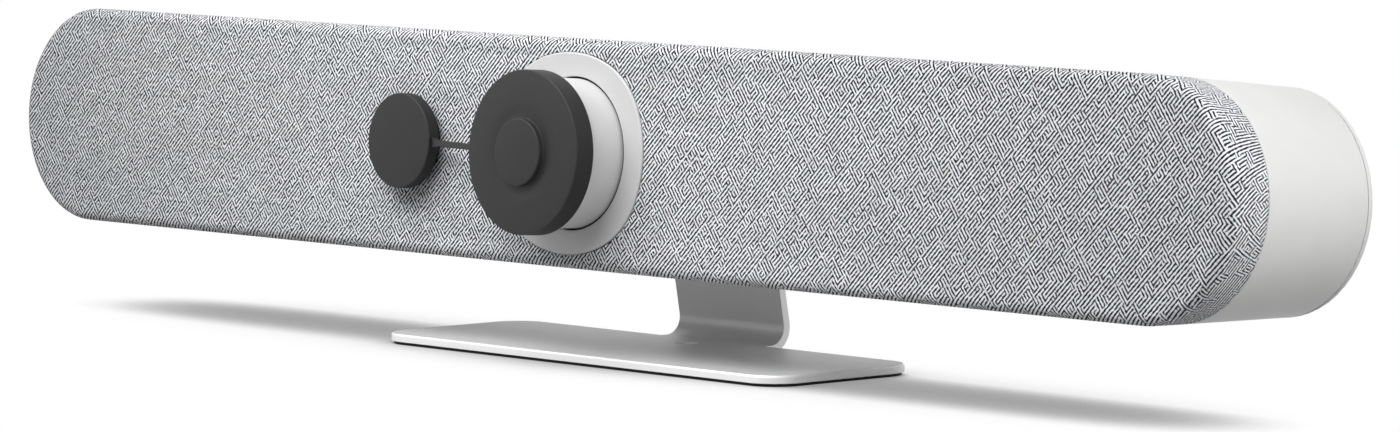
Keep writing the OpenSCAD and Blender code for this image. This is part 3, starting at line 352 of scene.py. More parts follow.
@dataclass(frozen=True)
class CutSheet:
    """A silver-painted bent sheet with a painted highlight: its cut edges get a lighter colour than its faces."""

    name: str
    colour: str
    painted_highlight_colour: str
    roughness: float
    grain: float = 0.22
    speckle: Span = (0.35, 0.65)
    dimmed: float = 0.94
    swing: float = 0.15
    metallic: float = 0.3
    depth: float = 0.008
    edge: float = 0.3
    plate_top: float = 5.5
    sideways: float = 0.6
    level: float = 0.9

    def make(self) -> bpy.types.Material:
        """Makes the finish.

        Returns:
            Its material.
        """
        graph = Skin(self.name)
        place = graph.place(Coordinates.OBJECT)
        fine = graph.noise(place, self.grain, FINE_DETAIL)
        facing = graph.axes_of(graph.add("ShaderNodeTexCoord").outputs["Normal"])
        height = graph.axes_of(place)[2]
        # The faces that look along the bar, and the upright faces low on the plate, are the edges that get the
        # painted highlight.
        side = graph.sum_of("GREATER_THAN", graph.sum_of("ABSOLUTE", facing[0]), self.sideways)
        upright = graph.sum_of("LESS_THAN", graph.sum_of("ABSOLUTE", facing[2]), self.level)
        low = graph.sum_of("LESS_THAN", height, self.plate_top)
        painted_highlight_mask = graph.sum_of("MAXIMUM", side, graph.sum_of("MULTIPLY", upright, low))
        dim = paint(self.colour, self.dimmed)
        face = graph.blend(graph.ramp(fine, self.speckle), dim, paint(self.colour))
        # The edges take the lighter colour: a painted highlight, not a bare metal of their own.
        graph.tint(painted_highlight_mask, face, paint(self.painted_highlight_colour))
        graph.gloss(fine, self.roughness, self.swing)
        graph.set(Metallic=self.metallic)
        graph.relief(fine, self.depth, self.edge)
        return graph.material


@dataclass(frozen=True)
class Foam:
    """An open foam with pores."""

    name: str
    colour: str
    pore: float = 0.8
    pore_walls: Span = (0.1, 0.5)
    dimmed: float = 0.4
    depth: float = 0.3
    roughness: float = 0.95

    def make(self) -> bpy.types.Material:
        """Makes the finish.

        Returns:
            Its material.
        """
        graph = Skin(self.name)
        wired = {"Vector": graph.place(Coordinates.OBJECT), "Scale": 1 / self.pore}
        cells = graph.add("ShaderNodeTexVoronoi", wired).outputs["Distance"]
        graph.tint(graph.ramp(cells, self.pore_walls), paint(self.colour, self.dimmed), paint(self.colour))
        graph.set(Roughness=self.roughness)
        graph.relief(cells, self.depth)
        return graph.material


@dataclass(frozen=True)
class Board:
    """A lacquered circuit board with a net of fine copper tracks."""

    name: str
    colour: str
    track: str
    pitch: float = 2.4
    disorder: float = 0.35
    track_edge: Span = (0.04, 0.09)
    roughness: float = 0.32
    lacquer: float = 0.3
    depth: float = 0.03
    edge: float = 0.2

    def make(self) -> bpy.types.Material:
        """Makes the finish.

        Returns:
            Its material.
        """
        graph = Skin(self.name)
        place = graph.place(Coordinates.OBJECT)
        wired = {"Vector": place, "Scale": 1 / self.pitch, "Randomness": self.disorder}
        cells = graph.add("ShaderNodeTexVoronoi", wired, feature="DISTANCE_TO_EDGE")
        line = graph.ramp(cells.outputs["Distance"], self.track_edge, (1, 0))
        graph.tint(line, paint(self.colour), paint(self.track))
        graph.set(Roughness=self.roughness, Coat_Weight=self.lacquer)
        graph.relief(line, self.depth, self.edge)
        return graph.material


@dataclass(frozen=True)
class Glass:
    """A dark coated lens glass."""

    name: str
    colour: str
    roughness: float = 0.03
    haze: float = 6.0
    haze_swing: float = 0.4
    tinge: float = 25.0
    brighter: float = 1.5
    coating: float = 0.02
    bending: float = 1.6

    def make(self) -> bpy.types.Material:
        """Makes the finish.

        Returns:
            Its material.
        """
        graph = Skin(self.name)
        place = graph.place(Coordinates.OBJECT)
        graph.gloss(graph.noise(place, self.haze), self.roughness, self.haze_swing)
        share = graph.ramp(graph.noise(place, self.tinge, PLAIN_DETAIL), NOISE_BAND)
        graph.tint(share, paint(self.colour), paint(self.colour, self.brighter))
        graph.set(Coat_Weight=1.0, Coat_Roughness=self.coating, IOR=self.bending)
        return graph.material


@dataclass(frozen=True)
class BrokenTwill:
    """A woven grille cloth: short slanting stitches that change their slant from patch to patch."""

    name: str
    light: str
    dark: str
    pitch: float = 1.9
    rising_lean: float = -1.0
    falling_lean: float = 0.8
    patch: float = 4.0
    patch_disorder: float = 0.85
    turned_share: float = 0.34
    stitch: float = 1.5
    breaking: float = 3.6
    thread_edge: Span = (-0.3, 0.0)
    cloud: float = 9.0
    cloud_tone: Span = (0.86, 1.0)
    depth: float = 0.12
    roughness: float = 0.9
    shine: float = 0.2
    sheen: float = 0.15
    sheen_roughness: float = 0.5

    def slant(self, graph: Graph, across: Socket, along: Socket, lean: float) -> Socket:
        """Gives slanting stripes.

        Args:
            graph: The material's graph.
            across: The place across the cloth in millimetres.
            along: The place along the cloth in millimetres.
            lean: How far the stripes lean, as a share of their rise.

        Returns:
            The stripes' wave, -1 to 1.
        """
        step = graph.sum_of("MULTIPLY_ADD", along, lean, across)
        turn = graph.sum_of("MULTIPLY", step, FULL_TURN / (self.pitch * math.hypot(1, lean)))
        return graph.sum_of("SINE", turn)

    def turned_patches(self, graph: Graph, place: Socket) -> Socket:
        """Picks the patches whose stitches fall instead of rising.

        Args:
            graph: The material's graph.
            place: The place on the cloth.

        Returns:
            The output that is 1 in those patches and 0 in the others.
        """
        wired = {"Vector": place, "Scale": 1 / self.patch, "Randomness": self.patch_disorder}
        cells = graph.add("ShaderNodeTexVoronoi", wired, voronoi_dimensions="2D", distance="CHEBYCHEV")
        return graph.sum_of("LESS_THAN", graph.axes_of(cells.outputs["Color"])[0], self.turned_share)

    def make(self) -> bpy.types.Material:
        """Makes the finish.

        Returns:
            Its material.
        """
        graph = Skin(self.name)
        place = graph.place(Coordinates.CLOTH)
        across, along = graph.axes_of(place)[:2]
        rising = self.slant(graph, across, along, self.rising_lean)
        falling = self.slant(graph, across, along, self.falling_lean)
        picked = self.turned_patches(graph, place)
        stitch = graph.add("ShaderNodeMix", {0: picked, 2: rising, 3: falling}).outputs[0]
        breaks = graph.sum_of("SUBTRACT", graph.noise(place, self.stitch, PLAIN_DETAIL), NOISE_MIDDLE)
        broken = graph.sum_of("MULTIPLY_ADD", breaks, self.breaking, stitch)
        light_share = graph.ramp(broken, self.thread_edge)
        tone = graph.ramp(graph.noise(place, self.cloud), NOISE_BAND, self.cloud_tone)
        graph.tint(light_share, paint(self.dark), graph.blend(tone, BLACK, paint(self.light)))
        graph.set(Roughness=self.roughness, Specular_IOR_Level=self.shine)
        graph.set(Sheen_Weight=self.sheen, Sheen_Roughness=self.sheen_roughness)
        graph.relief(light_share, self.depth)
        return graph.material


@dataclass(frozen=True)
class StudioFloor:
    """The pale floor: to the camera a white glow, dimmed into a painted shadow where the object shuts out the sky,
    and dim to the object.
    """

    name: str
    reach: float = 0.35
    sky_share: Span = (0.28, 0.62)
    level: Span = (0.33, 1.0)
    bounce: float = 0.3
    samples: int = 24

    def make(self) -> bpy.types.Material:
        """Makes the finish.

        Returns:
            Its material.
        """
        graph = Skin(self.name, "ShaderNodeMixShader")
        sky = graph.add("ShaderNodeAmbientOcclusion", {"Distance": self.reach}, samples=self.samples)
        # The glow's strength follows the occlusion: a painted shadow under the object.
        level = graph.ramp(sky.outputs["AO"], self.sky_share, self.level)
        white = graph.add("ShaderNodeEmission", {"Color": WHITE, "Strength": level})
        dim = graph.add("ShaderNodeBsdfDiffuse", {"Color": (self.bounce, self.bounce, self.bounce, 1)})
        for end, value in enumerate((graph.seen(), dim.outputs[0], white.outputs[0])):
            graph.feed(graph.surface.inputs[end], value)
        return graph.material


FINISHES = (
    Moulded("casing", "DEDEDD", 0.42, grain=0.45, depth=0.006, mottle=0.02),
    Moulded("trim", "DADADA", 0.4, grain=0.4, depth=0.006, mottle=0.02),
    BrokenTwill("fabric", "F9FAFF", "121318"),
    Moulded("dark_plastic", "2B2C2F", 0.5, grain=0.5, depth=0.015),
    Moulded("cap_rubber", "222222", 0.55, grain=0.3, depth=0.012, mottle=0.06, shine=0.35),
    Moulded("black_rubber", "1B1B1C", 0.75, grain=0.4, depth=0.02, shine=0.3),
    Foam("foam", "2A2A2C"),
    Glass("glass", "0B0D14"),
    Board("board", "14512F", "2F7A4B"),
    Brushed("steel", "B9BBBD", 0.32),
    Brushed("aluminium", "C9CBCE", 0.38),
    # The stand's edges are painted white: a painted highlight.
    CutSheet("stand_paint", "DDDDDE", "FFFFFF", 0.5),
    Brushed("brass", "C9A24E", 0.3),
    Moulded("cone", "232326", 0.7, grain=0.9, depth=0.05, mottle=0.15, shine=0.25),
)


class Wardrobe:
    """Makes each finish once and hands it out."""

    def __init__(self) -> None:
        """Starts with no finish made."""
        self.finishes = {finish.name: finish for finish in FINISHES}
        self.made: dict[str, bpy.types.Material] = {}

    def get(self, name: str) -> bpy.types.Material:
        """Hands out a finish.

        Args:
            name: The finish's name.

        Returns:
            Its material.
        """
        if name not in self.made:
            self.made[name] = self.finishes[name].make()
        return self.made[name]


WARDROBE = Wardrobe()


def bar_place(pivot_depth: float) -> Matrix:
    """Works out the bar's own frame from the joints.

    Args:
        pivot_depth: How far the head's pivot lies behind the fabric, in millimetres.

    Returns:
        The matrix from the bar's millimetres to the frame's metres.
    """
    joints = {joint["name"]: joint for joint in frame["joints"]}
    up = Vector(joints["camera_pan"]["axis"]).normalized()
    back = -Vector(joints["caps_pull"]["axis"]).normalized()
    front = Vector(joints["camera_pan"]["pos_m"]) - back * pivot_depth * MM
    turn = Matrix((back.cross(up), back, up)).transposed().to_4x4()
    return Matrix.Translation(front) @ turn @ Matrix.Scale(MM, 4)


PIVOT_DEPTH = 12.0
IN_BAR = bar_place(PIVOT_DEPTH)


@dataclass(frozen=True)
class Corner:
    """One corner of a section: its distance from the axis, its depth and its rounding."""

    out: float
    back: float
    round: float = 0.0


def only(kind: type, geom: Iterable[object]) -> list:
    """Picks the parts of one kind from an operator's result."""
    return [part for part in geom if isinstance(part, kind)]


def edges_among(verts: list, geom: Iterable[object]) -> list:
    """Picks the edges from an operator's result whose two ends are among the vertices."""
    return [edge for edge in only(BMEdge, geom) if all(vert in verts for vert in edge.verts)]


def draw_section(shape: BMesh, corners: Iterable[Corner], closed: bool) -> list:
    """Draws a section in the plane over the axis and rounds its corners.

    Args:
        shape: The mesh in the making.
        corners: The section's corners in order.
        closed: Whether the last corner joins the first.

    Returns:
        The section's vertices and edges.
    """
    corners = list(corners)
    points = [shape.verts.new((0, c.back, c.out)) for c in corners]
    for first, second in zip(points, points[1:] + points[:1] if closed else points[1:]):
        shape.edges.new((first, second))
    for corner, point in zip(corners, points):
        if corner.round:
            bmesh.ops.bevel(
                shape, geom=[point], offset=corner.round, offset_type="OFFSET", segments=ARC_STEPS,
                profile=0.5, affect="VERTICES", material=-1,
            )
    return list(shape.verts) + list(shape.edges)


def turned(corners: Iterable[Corner], closed: bool = True, shift: float = 0.0) -> BMesh:
    """Turns a section all the way round the depth axis.

    Args:
        corners: The section's corners.
        closed: Whether the section is a closed loop, as on a ring.
        shift: How far the turned shape is moved along the bar.

    Returns:
        The turned mesh.
    """
    shape = bmesh.new()
    section = draw_section(shape, corners, closed)
    bmesh.ops.spin(
        shape, geom=section, cent=(0, 0, 0), axis=(0, 1, 0), angle=FULL_TURN, steps=LATHE_STEPS,
        use_merge=True,
    )
    bmesh.ops.translate(shape, verts=shape.verts, vec=(shift, 0, 0))
    return shape


def swept(corners: Iterable[Corner], half_run: float, closed: bool) -> BMesh:
    """Sweeps a section round the bar's outline: two straights and two half rounds.

    Args:
        corners: The section's corners.
        half_run: Half the length of the straights.
        closed: Whether the section is a closed loop.

    Returns:
        The swept mesh.
    """
    shape = bmesh.new()
    section = draw_section(shape, corners, closed)
    bmesh.ops.translate(shape, verts=shape.verts, vec=(half_run, 0, 0))
    for side in (1, -1):
        turn = bmesh.ops.spin(
            shape, geom=section, cent=(side * half_run, 0, 0), axis=(0, 1, 0), angle=HALF_TURN,
            steps=END_STEPS, use_merge=False,
        )
        run = bmesh.ops.extrude_edge_only(shape, edges=only(BMEdge, turn["geom_last"]))["geom"]
        moved = only(BMVert, run)
        bmesh.ops.translate(shape, verts=moved, vec=(-2 * side * half_run, 0, 0))
        section = moved + edges_among(moved, run)
    bmesh.ops.remove_doubles(shape, verts=shape.verts, dist=WELD)
    return shape


def put(name: str, data: bpy.types.ID) -> bpy.types.Object:
    """Puts a new object in the scene.

    Args:
        name: The object's name.
        data: Its mesh, light or camera.

    Returns:
        The object.
    """
    made = bpy.data.objects.new(name, data)
    bpy.context.scene.collection.objects.link(made)
    return made


def put_mesh(shape: BMesh, name: str, coat: bpy.types.Material) -> bpy.types.Object:
    """Puts a mesh in the scene.

    Args:
        shape: The mesh in the frame's metres; it is freed.
        name: The object's name.
        coat: Its material.

    Returns:
        The object.
    """
    mesh = bpy.data.meshes.new(name)
    shape.to_mesh(mesh)
    shape.free()
    mesh.materials.append(coat)
    return put(name, mesh)


def fit(
    shape: BMesh, name: str, body: Body, finish: str, stands_for: str, turn_out: bool = True
) -> bpy.types.Object:
    """Makes a piece of a mesh, says what it rides on, and hides the node that it stands for.

    Args:
        shape: The mesh in the bar's millimetres; it is freed.
        name: The piece's name.
        body: The body it rides on.
        finish: Its finish, by the name of the record's material slot.
        stands_for: The CAD node that it replaces.
        turn_out: Whether its normals are worked out again.

    Returns:
        The piece.
    """
    bmesh.ops.remove_doubles(shape, verts=shape.verts, dist=WELD)
    if turn_out:
        bmesh.ops.recalc_face_normals(shape, faces=shape.faces)
    bmesh.ops.transform(shape, matrix=IN_BAR, verts=shape.verts)
    made = put_mesh(shape, name, WARDROBE.get(finish))
    made.data.shade_smooth()
    made.data.set_sharp_from_angle(angle=SHARP_ANGLE)
    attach(made, body.value)
    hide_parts(stands_for)
    LOG.info("%s: %d faces, rides on %s", name, len(made.data.polygons), body.value)
    return made


@dataclass
class SubAssembly:
    """A group of pieces that are made and finished together.

    Its sizes are in millimetres, and a depth counts back from the cloth's face.
    """

    kept: ClassVar[tuple[str, ...]] = ()

    def dress(self) -> None:
        """Gives the carried-over nodes of this group their finishes."""
        slots = {part["node"]: part["material_slot"] for part in frame["record"]["subparts"]}
        for name in self.kept:
            node = frame["nodes"][name]
            for holder in node.material_slots:
                holder.material = WARDROBE.get(slots[name])
            LOG.info("%s: kept, finished as %s", name, slots[name])

    def build(self) -> None:
        """Makes the group's new pieces."""


@dataclass
class BarOutline:
    """The bar's outline at each depth."""

    width: float = 910.0
    height: float = 115.5
    wrap_depth: float = 24.2
    wrap_taper: float = 1.0
    taper: float = 4.1
    depth: float = 97.6
    cover_thickness: float = 3.3
    edge: float = 5.0

    @property
    def half_run(self) -> float:
        """Half the length of the straights."""
        return (self.width - self.height) / 2

    @property
    def seam(self) -> float:
        """The depth of the seam before the rear cover."""
        return self.depth - self.cover_thickness

    def half_at(self, back: float) -> float:
        """Works out half the bar's height at a depth.

        Args:
            back: The depth behind the cloth's face in millimetres.

        Returns:
            Half the height in millimetres.
        """
        full = self.height / 2
        if back <= self.wrap_depth:
            share = max(0.0, back - self.edge) / (self.wrap_depth - self.edge)
            return full - self.wrap_taper * share
        share = (back - self.wrap_depth) / (self.seam - self.wrap_depth)
        return full - self.wrap_taper - (self.taper - self.wrap_taper) * share


@dataclass(frozen=True)
class RimOutline:
    """The trim ring's outline: round, and flattened towards the bar's top and bottom edges."""

    radius: float = 56.0
    level: float = 20.0
    top: float = 50.5

    def squeeze(self, point: Vector) -> float:
        """Works out how much a round outline is flattened.

        Args:
            point: A point of the outline in the bar's millimetres.

        Returns:
            The share of its height that the point keeps.
        """
        height = self.radius * abs(point.z) / max(math.hypot(point.x, point.z), WELD)
        if height <= self.level:
            return 1.0
        share = (height - self.level) / (self.radius - self.level)
        start = (self.radius - self.level) / (self.top - self.level)
        squeezed = (self.top - self.level) * (start * share + (1 - start) * share * share)
        return (self.level + squeezed) / height


OUTLINE = BarOutline()
RIM = RimOutline()
FINDER_X = -119.35


@dataclass(frozen=True)
class Opening:
    """An opening in the cloth: its middle along the bar, its radius and whether it follows the rim."""

    middle: float
    radius: float
    at_rim: bool

    def squeeze(self, point: Vector) -> float:
        """Gives the share of its height that a point of the opening keeps."""
        return RIM.squeeze(point) if self.at_rim else 1.0


@dataclass
class GrilleCloth(SubAssembly):
    """The stretched cloth over the front and its frame."""

    kept = ("grille_frame", "front_baffle")
    thickness: float = 0.8
    tuck: float = 1.0
    slip: float = 0.3
    finder_hole: float = 19.5
    hole_round: float = 0.5
    hole_steps: int = 96
    fold_steps: int = 4
    cut_margin: float = 50.0
    edge_ease: float = 1.001

    def cloth_uv(self, point: Vector) -> tuple[float, float]:
        """Unrolls a point of the wrap to the flat cloth.

        Args:
            point: A point in the bar's millimetres.

        Returns:
            Its place on the cloth in metres.
        """
        spine = max(-OUTLINE.half_run, min(OUTLINE.half_run, point.x))
        reach = math.hypot(point.x - spine, point.z)
        flat = OUTLINE.height / 2 - OUTLINE.edge
        if reach <= flat or reach == 0:
            return point.x * MM, point.z * MM
        bend = math.atan2(reach - flat, max(OUTLINE.edge - point.y, WELD))
        arc = OUTLINE.edge * min(bend, QUARTER_TURN) + max(0.0, point.y - OUTLINE.edge)
        grown = (flat + arc) / reach
        return (spine + (point.x - spine) * grown) * MM, point.z * grown * MM

    def front(self, shape: BMesh) -> None:
        """Fills the flat front round its two openings.

        Args:
            shape: The mesh in the making.
        """
        rims = [e for e in shape.edges if e.is_boundary and all(abs(v.co.y) < WELD for v in e.verts)]
        ring = Opening(0.0, RIM.radius + self.slip, at_rim=True)
        for opening in (ring, Opening(FINDER_X, self.finder_hole, at_rim=False)):
            turn = Matrix.Translation((opening.middle, 0, 0)) @ Matrix.Rotation(QUARTER_TURN, 4, "X")
            edge = bmesh.ops.create_circle(
                shape, cap_ends=False, radius=opening.radius + self.hole_round,
                segments=self.hole_steps, matrix=turn,
            )["verts"]
            for vert in edge:
                vert.co.z *= opening.squeeze(vert.co)
            loop = {e for v in edge for e in v.link_edges}
            rims += loop
            self.turn_in(shape, list(loop), opening)
        bmesh.ops.triangle_fill(shape, edges=rims, use_beauty=True, use_dissolve=False)

    def turn_in(self, shape: BMesh, loop: list, opening: Opening) -> None:
        """Turns the cloth in at an opening.

        Args:
            shape: The mesh in the making.
            loop: The opening's edges.
            opening: The opening.
        """
        for i in range(1, self.fold_steps + 2):
            lean = min(i, self.fold_steps) / self.fold_steps * QUARTER_TURN
            tucked = self.tuck if i > self.fold_steps else 0
            back = self.hole_round * (1 - math.cos(lean)) + tucked
            wide = opening.radius + self.hole_round * (1 - math.sin(lean))
            geom = bmesh.ops.extrude_edge_only(shape, edges=loop)["geom"]
            ring = only(BMVert, geom)
            loop = edges_among(ring, geom)
            for vert in ring:
                flat = opening.squeeze(vert.co)
                out = Vector((vert.co.x - opening.middle, 0, vert.co.z / flat)).normalized() * wide
                vert.co = Vector((opening.middle + out.x, back, out.z * flat))

    def wrap(self) -> BMesh:
        """Makes the cloth's surface, facing out, with its weave unrolled.

        Returns:
            The cloth's mesh, with no thickness.
        """
        half, end = OUTLINE.height / 2, OUTLINE.half_at(OUTLINE.wrap_depth)
        # The first corner lies just beyond the rounded edge, which keeps its full size so.
        corners = [
            Corner(half - self.edge_ease * OUTLINE.edge, 0),
            Corner(half, 0, OUTLINE.edge),
            Corner(end, OUTLINE.wrap_depth - self.hole_round),
            Corner(end - self.tuck, OUTLINE.wrap_depth - self.hole_round / 3),
        ]
        shape = swept(corners, OUTLINE.half_run, closed=False)
        self.front(shape)
        bmesh.ops.remove_doubles(shape, verts=shape.verts, dist=WELD)
        bmesh.ops.recalc_face_normals(shape, faces=shape.faces)
        if sum(face.normal.y * face.calc_area() for face in shape.faces) > 0:
            bmesh.ops.reverse_faces(shape, faces=shape.faces)
        layer = shape.loops.layers.uv.new("cloth")
        for face in shape.faces:
            for corner in face.loops:
                corner[layer].uv = self.cloth_uv(corner.vert.co)
        return shape

    def build(self) -> None:
        shape = self.wrap()
        area = sum(f.calc_area() for f in shape.faces) * MM * MM
        cloth = fit(shape, "grille_cloth", Body.HOUSING, "fabric", "grille_fabric", turn_out=False)
        wall = cloth.modifiers.new("wall", "SOLIDIFY")
        wall.thickness = self.thickness * MM
        wall.offset = -1


@dataclass
class Casing(SubAssembly):
    """The white casing behind the cloth and its rear cover."""

    kept = ("rear_cover", "port_panel", "cover_screws")
    wall: float = 2.8
    front_round: float = 0.5
    seam_round: float = 0.8
    seam_gap: float = 0.15

    def build(self) -> None:
        """Makes the casing's shell, with rounded edges at both seams."""
        front, back = OUTLINE.wrap_depth, OUTLINE.seam - self.seam_gap
        front_half, back_half = OUTLINE.half_at(front + WELD), OUTLINE.half_at(back)
        corners = [
            Corner(front_half, front, self.front_round),
            Corner(back_half, back, self.seam_round),
            Corner(back_half - self.wall, back, self.front_round),
            Corner(front_half - self.wall, front, self.front_round),
        ]
        shape = swept(corners, OUTLINE.half_run, closed=True)
        fit(shape, "casing_shell", Body.HOUSING, "casing", "rear_housing")


@dataclass
class LensMount(SubAssembly):
    """The dished trim ring and the fixed barrel round the lens."""

    kept = ("barrel_gasket",)
    lip_back: float = 0.6
    lip_round: float = 0.9
    ring: float = 51.2
    ring_hole: float = 38.5
    ring_front: float = -1.0
    dish: float = 3.6
    hole_round: float = 0.7
    back_round: float = 0.3
    # Where the painted shade of the gap inside the ring begins.
    painted_shade_start: float = 3.5
    flange_depth: float = 4.5
    flange: float = 46.0
    flange_thickness: float = 2.5
    fine_round: float = 0.2
    baffle: float = 14.0
    barrel: float = 37.5
    wall: float = 2.6
    mouth_round: float = 0.8
    bore_round: float = 0.6
    stands_out: float = 26.0
    slip: float = 0.3

    def trim_ring(self) -> None:
        """Makes the dished ring and flattens its rim."""
        section = [
            Corner(self.ring_hole, self.ring_front + self.dish, self.hole_round),
            Corner(RIM.radius, self.ring_front, self.lip_round),
            Corner(RIM.radius, self.lip_back, self.fine_round),
            Corner(self.ring, self.lip_back),
            Corner(self.ring, self.baffle, self.back_round),
            Corner(self.flange + self.slip, self.baffle),
            Corner(self.flange + self.slip, self.flange_depth),
            Corner(self.ring_hole, self.flange_depth, self.back_round),
        ]
        shape = turned(section)
        for vert in shape.verts:
            if math.hypot(vert.co.x, vert.co.z) > self.ring + WELD:
                vert.co.z *= RIM.squeeze(vert.co)
        fit(shape, "trim_ring", Body.HOUSING, "trim", "lens_trim_ring")

    def shroud(self) -> None:
        """Makes the barrel with its flange behind the ring."""
        inner = self.barrel - self.wall
        flange_bore = self.flange - self.flange_thickness
        flange_back = self.flange_depth + self.flange_thickness
        section = [
            Corner(inner, -self.stands_out, self.bore_round),
            Corner(self.barrel, -self.stands_out, self.mouth_round),
            # The wall is split where the painted shade of the gap begins.
            Corner(self.barrel, self.painted_shade_start),
            Corner(self.barrel, self.flange_depth),
            Corner(self.flange, self.flange_depth, self.fine_round),
            Corner(self.flange, self.baffle, self.fine_round),
            Corner(flange_bore, self.baffle),
            Corner(flange_bore, flange_back),
            Corner(inner, flange_back),
        ]
        made = fit(turned(section), "barrel_shroud", Body.HOUSING, "trim", "lens_barrel")
        self.paint_seat_shade(made)

    def paint_seat_shade(self, made: bpy.types.Object) -> None:
        """Paints shade on the barrel's flange with the black finish, so that the gap inside the ring reads dark.

        Args:
            made: The barrel.
        """
        # The black finish on the flange is painted shade, not a part of its own.
        made.data.materials.append(WARDROBE.get("black_rubber"))
        out_of_bar = IN_BAR.inverted()
        half_wall = self.barrel - self.wall / 2
        for face in made.data.polygons:
            # Faces behind the start of the painted shade and outside the wall's middle take the painted shade.
            middle = out_of_bar @ face.center
            if middle.y > self.painted_shade_start and math.hypot(middle.x, middle.z) > half_wall:
                face.material_index = 1

    def build(self) -> None:
        """Makes the ring and the barrel."""
        self.trim_ring()
        self.shroud()


@dataclass
class LensCaps(SubAssembly):
    """The two rubber caps and the strap that ties them together."""

    radius: float = 41.2
    face: float = -30.5
    face_thickness: float = 4.2
    skirt: float = 11.2
    bore: float = 37.8
    disc: float = 16.8
    disc_height: float = 3.6
    disc_draft: float = 0.2
    disc_round: float = 0.6
    disc_foot: float = 0.4
    crown: float = 0.9
    moat: float = 20.4
    moat_depth: float = 0.4
    moat_round: float = 1.2
    moat_rise: float = 3.6
    crown_round: float = 2.4
    face_round: float = 0.7
    hem_round: float = 0.5
    bore_round: float = 0.3
    inside_round: float = 0.6
    small_radius: float = 24.3
    small_bore: float = 21.6
    small_face: float = -11.4
    small_length: float = 6.9
    small_thickness: float = 2.0
    small_hem_round: float = 0.4
    small_bore_round: float = 0.2
    small_inside_round: float = 0.5
    strap_sink: float = 0.8
    strap_depth: float = 3.2
    strap_height: float = 3.2
    strap_flare: float = 1.9
    strap_flare_ends: float = 6.0
    strap_steps: int = 14
    strap_round: float = 0.5
    strap_round_steps: int = 3

    def main_cap(self) -> None:
        """Makes the main cap with its raised disc."""
        back = self.face + self.skirt
        top = self.face - self.crown
        disc_face = self.face - self.disc_height
        inside = self.face + self.face_thickness
        section = [
            Corner(0, disc_face),
            Corner(self.disc, disc_face, self.disc_round),
            Corner(self.disc + self.disc_draft, top + self.moat_depth, self.disc_foot),
            Corner(self.moat, top + self.moat_depth, self.moat_round),
            Corner(self.moat + self.moat_rise, top, self.crown_round),
            Corner(self.radius, self.face, self.face_round),
            Corner(self.radius, back, self.hem_round),
            Corner(self.bore, back, self.bore_round),
            Corner(self.bore, inside, self.inside_round),
            Corner(0, inside),
        ]
        shape = turned(section, closed=False)
        fit(shape, "main_cap_cover", Body.CAPS, "cap_rubber", "main_cap")

    def small_cap(self) -> None:
        """Makes the small cap over the viewfinder."""
        back = self.small_face + self.small_length
        inside = self.small_face + self.small_thickness
        section = [
            Corner(0, self.small_face),
            Corner(self.small_radius, self.small_face, self.face_round),
            Corner(self.small_radius, back, self.small_hem_round),
            Corner(self.small_bore, back, self.small_bore_round),
            Corner(self.small_bore, inside, self.small_inside_round),
            Corner(0, inside),
        ]
        shape = turned(section, closed=False, shift=FINDER_X)
        fit(shape, "small_cap_cover", Body.CAPS, "cap_rubber", "small_cap")

    def strap(self) -> None:
        """Draws the strap from the small cap to the main cap, wider where it leaves the small one."""
        start_y = self.small_face + self.small_length / 2
        start = Vector((self.small_radius - self.strap_sink + FINDER_X, start_y, 0))
        end_y = self.face + self.skirt - self.strap_depth / 2 - self.strap_sink
        end = Vector((self.strap_sink - self.radius, end_y, 0))
        shape = bmesh.new()
        bmesh.ops.create_grid(shape, x_segments=1, y_segments=1, size=0.5)
        upright = Matrix.Rotation(QUARTER_TURN, 3, "Y")
        bmesh.ops.rotate(shape, verts=shape.verts, cent=(0, 0, 0), matrix=upright)
        bmesh.ops.translate(shape, verts=shape.verts, vec=start)
        self.shape_station(list(shape.verts), start, 0)
        faces = list(shape.faces)
        for i in range(1, self.strap_steps + 1):
            share = i / self.strap_steps
            geom = bmesh.ops.extrude_face_region(shape, geom=faces)["geom"]
            inner = faces if i > 1 else []
            faces = only(BMFace, geom)
            bmesh.ops.delete(shape, geom=[f for f in inner if f.is_valid], context="FACES_ONLY")
            self.shape_station(only(BMVert, geom), start.lerp(end, share), share)
        self.round_strap(shape)
        fit(shape, "cap_strap", Body.CAPS, "cap_rubber", "cap_tether")

    def shape_station(self, section: list, middle: Vector, share: float) -> None:
        """Puts one section of the strap in its place.

        Args:
            section: The section's four vertices.
            middle: The section's middle.
            share: How far along the strap it lies, 0 to 1.
        """
        near = max(0.0, 1 - self.strap_flare_ends * share) ** 2
        half_height = (1 + (self.strap_flare - 1) * near) * self.strap_height / 2
        ordered = sorted(section, key=lambda v: (round(v.co.z, 3), round(v.co.y, 3)))
        for vert, (up, back) in zip(ordered, ((-1, -1), (-1, 1), (1, -1), (1, 1))):
            vert.co = middle + Vector((0, back * self.strap_depth / 2, up * half_height))

    def round_strap(self, shape: BMesh) -> None:
        """Rounds the strap's four long edges.

        Args:
            shape: The mesh in the making.
        """
        long_edges = [
            edge for edge in shape.edges
            if abs((edge.verts[0].co - edge.verts[1].co).x) > WELD and len(edge.link_faces) == 2
        ]
        bmesh.ops.bevel(
            shape, geom=long_edges, offset=self.strap_round, offset_type="OFFSET",
            segments=self.strap_round_steps, profile=0.5, affect="EDGES", material=-1,
        )

    def build(self) -> None:
        """Makes both caps and the strap."""
        self.main_cap()
        self.small_cap()
        self.strap()


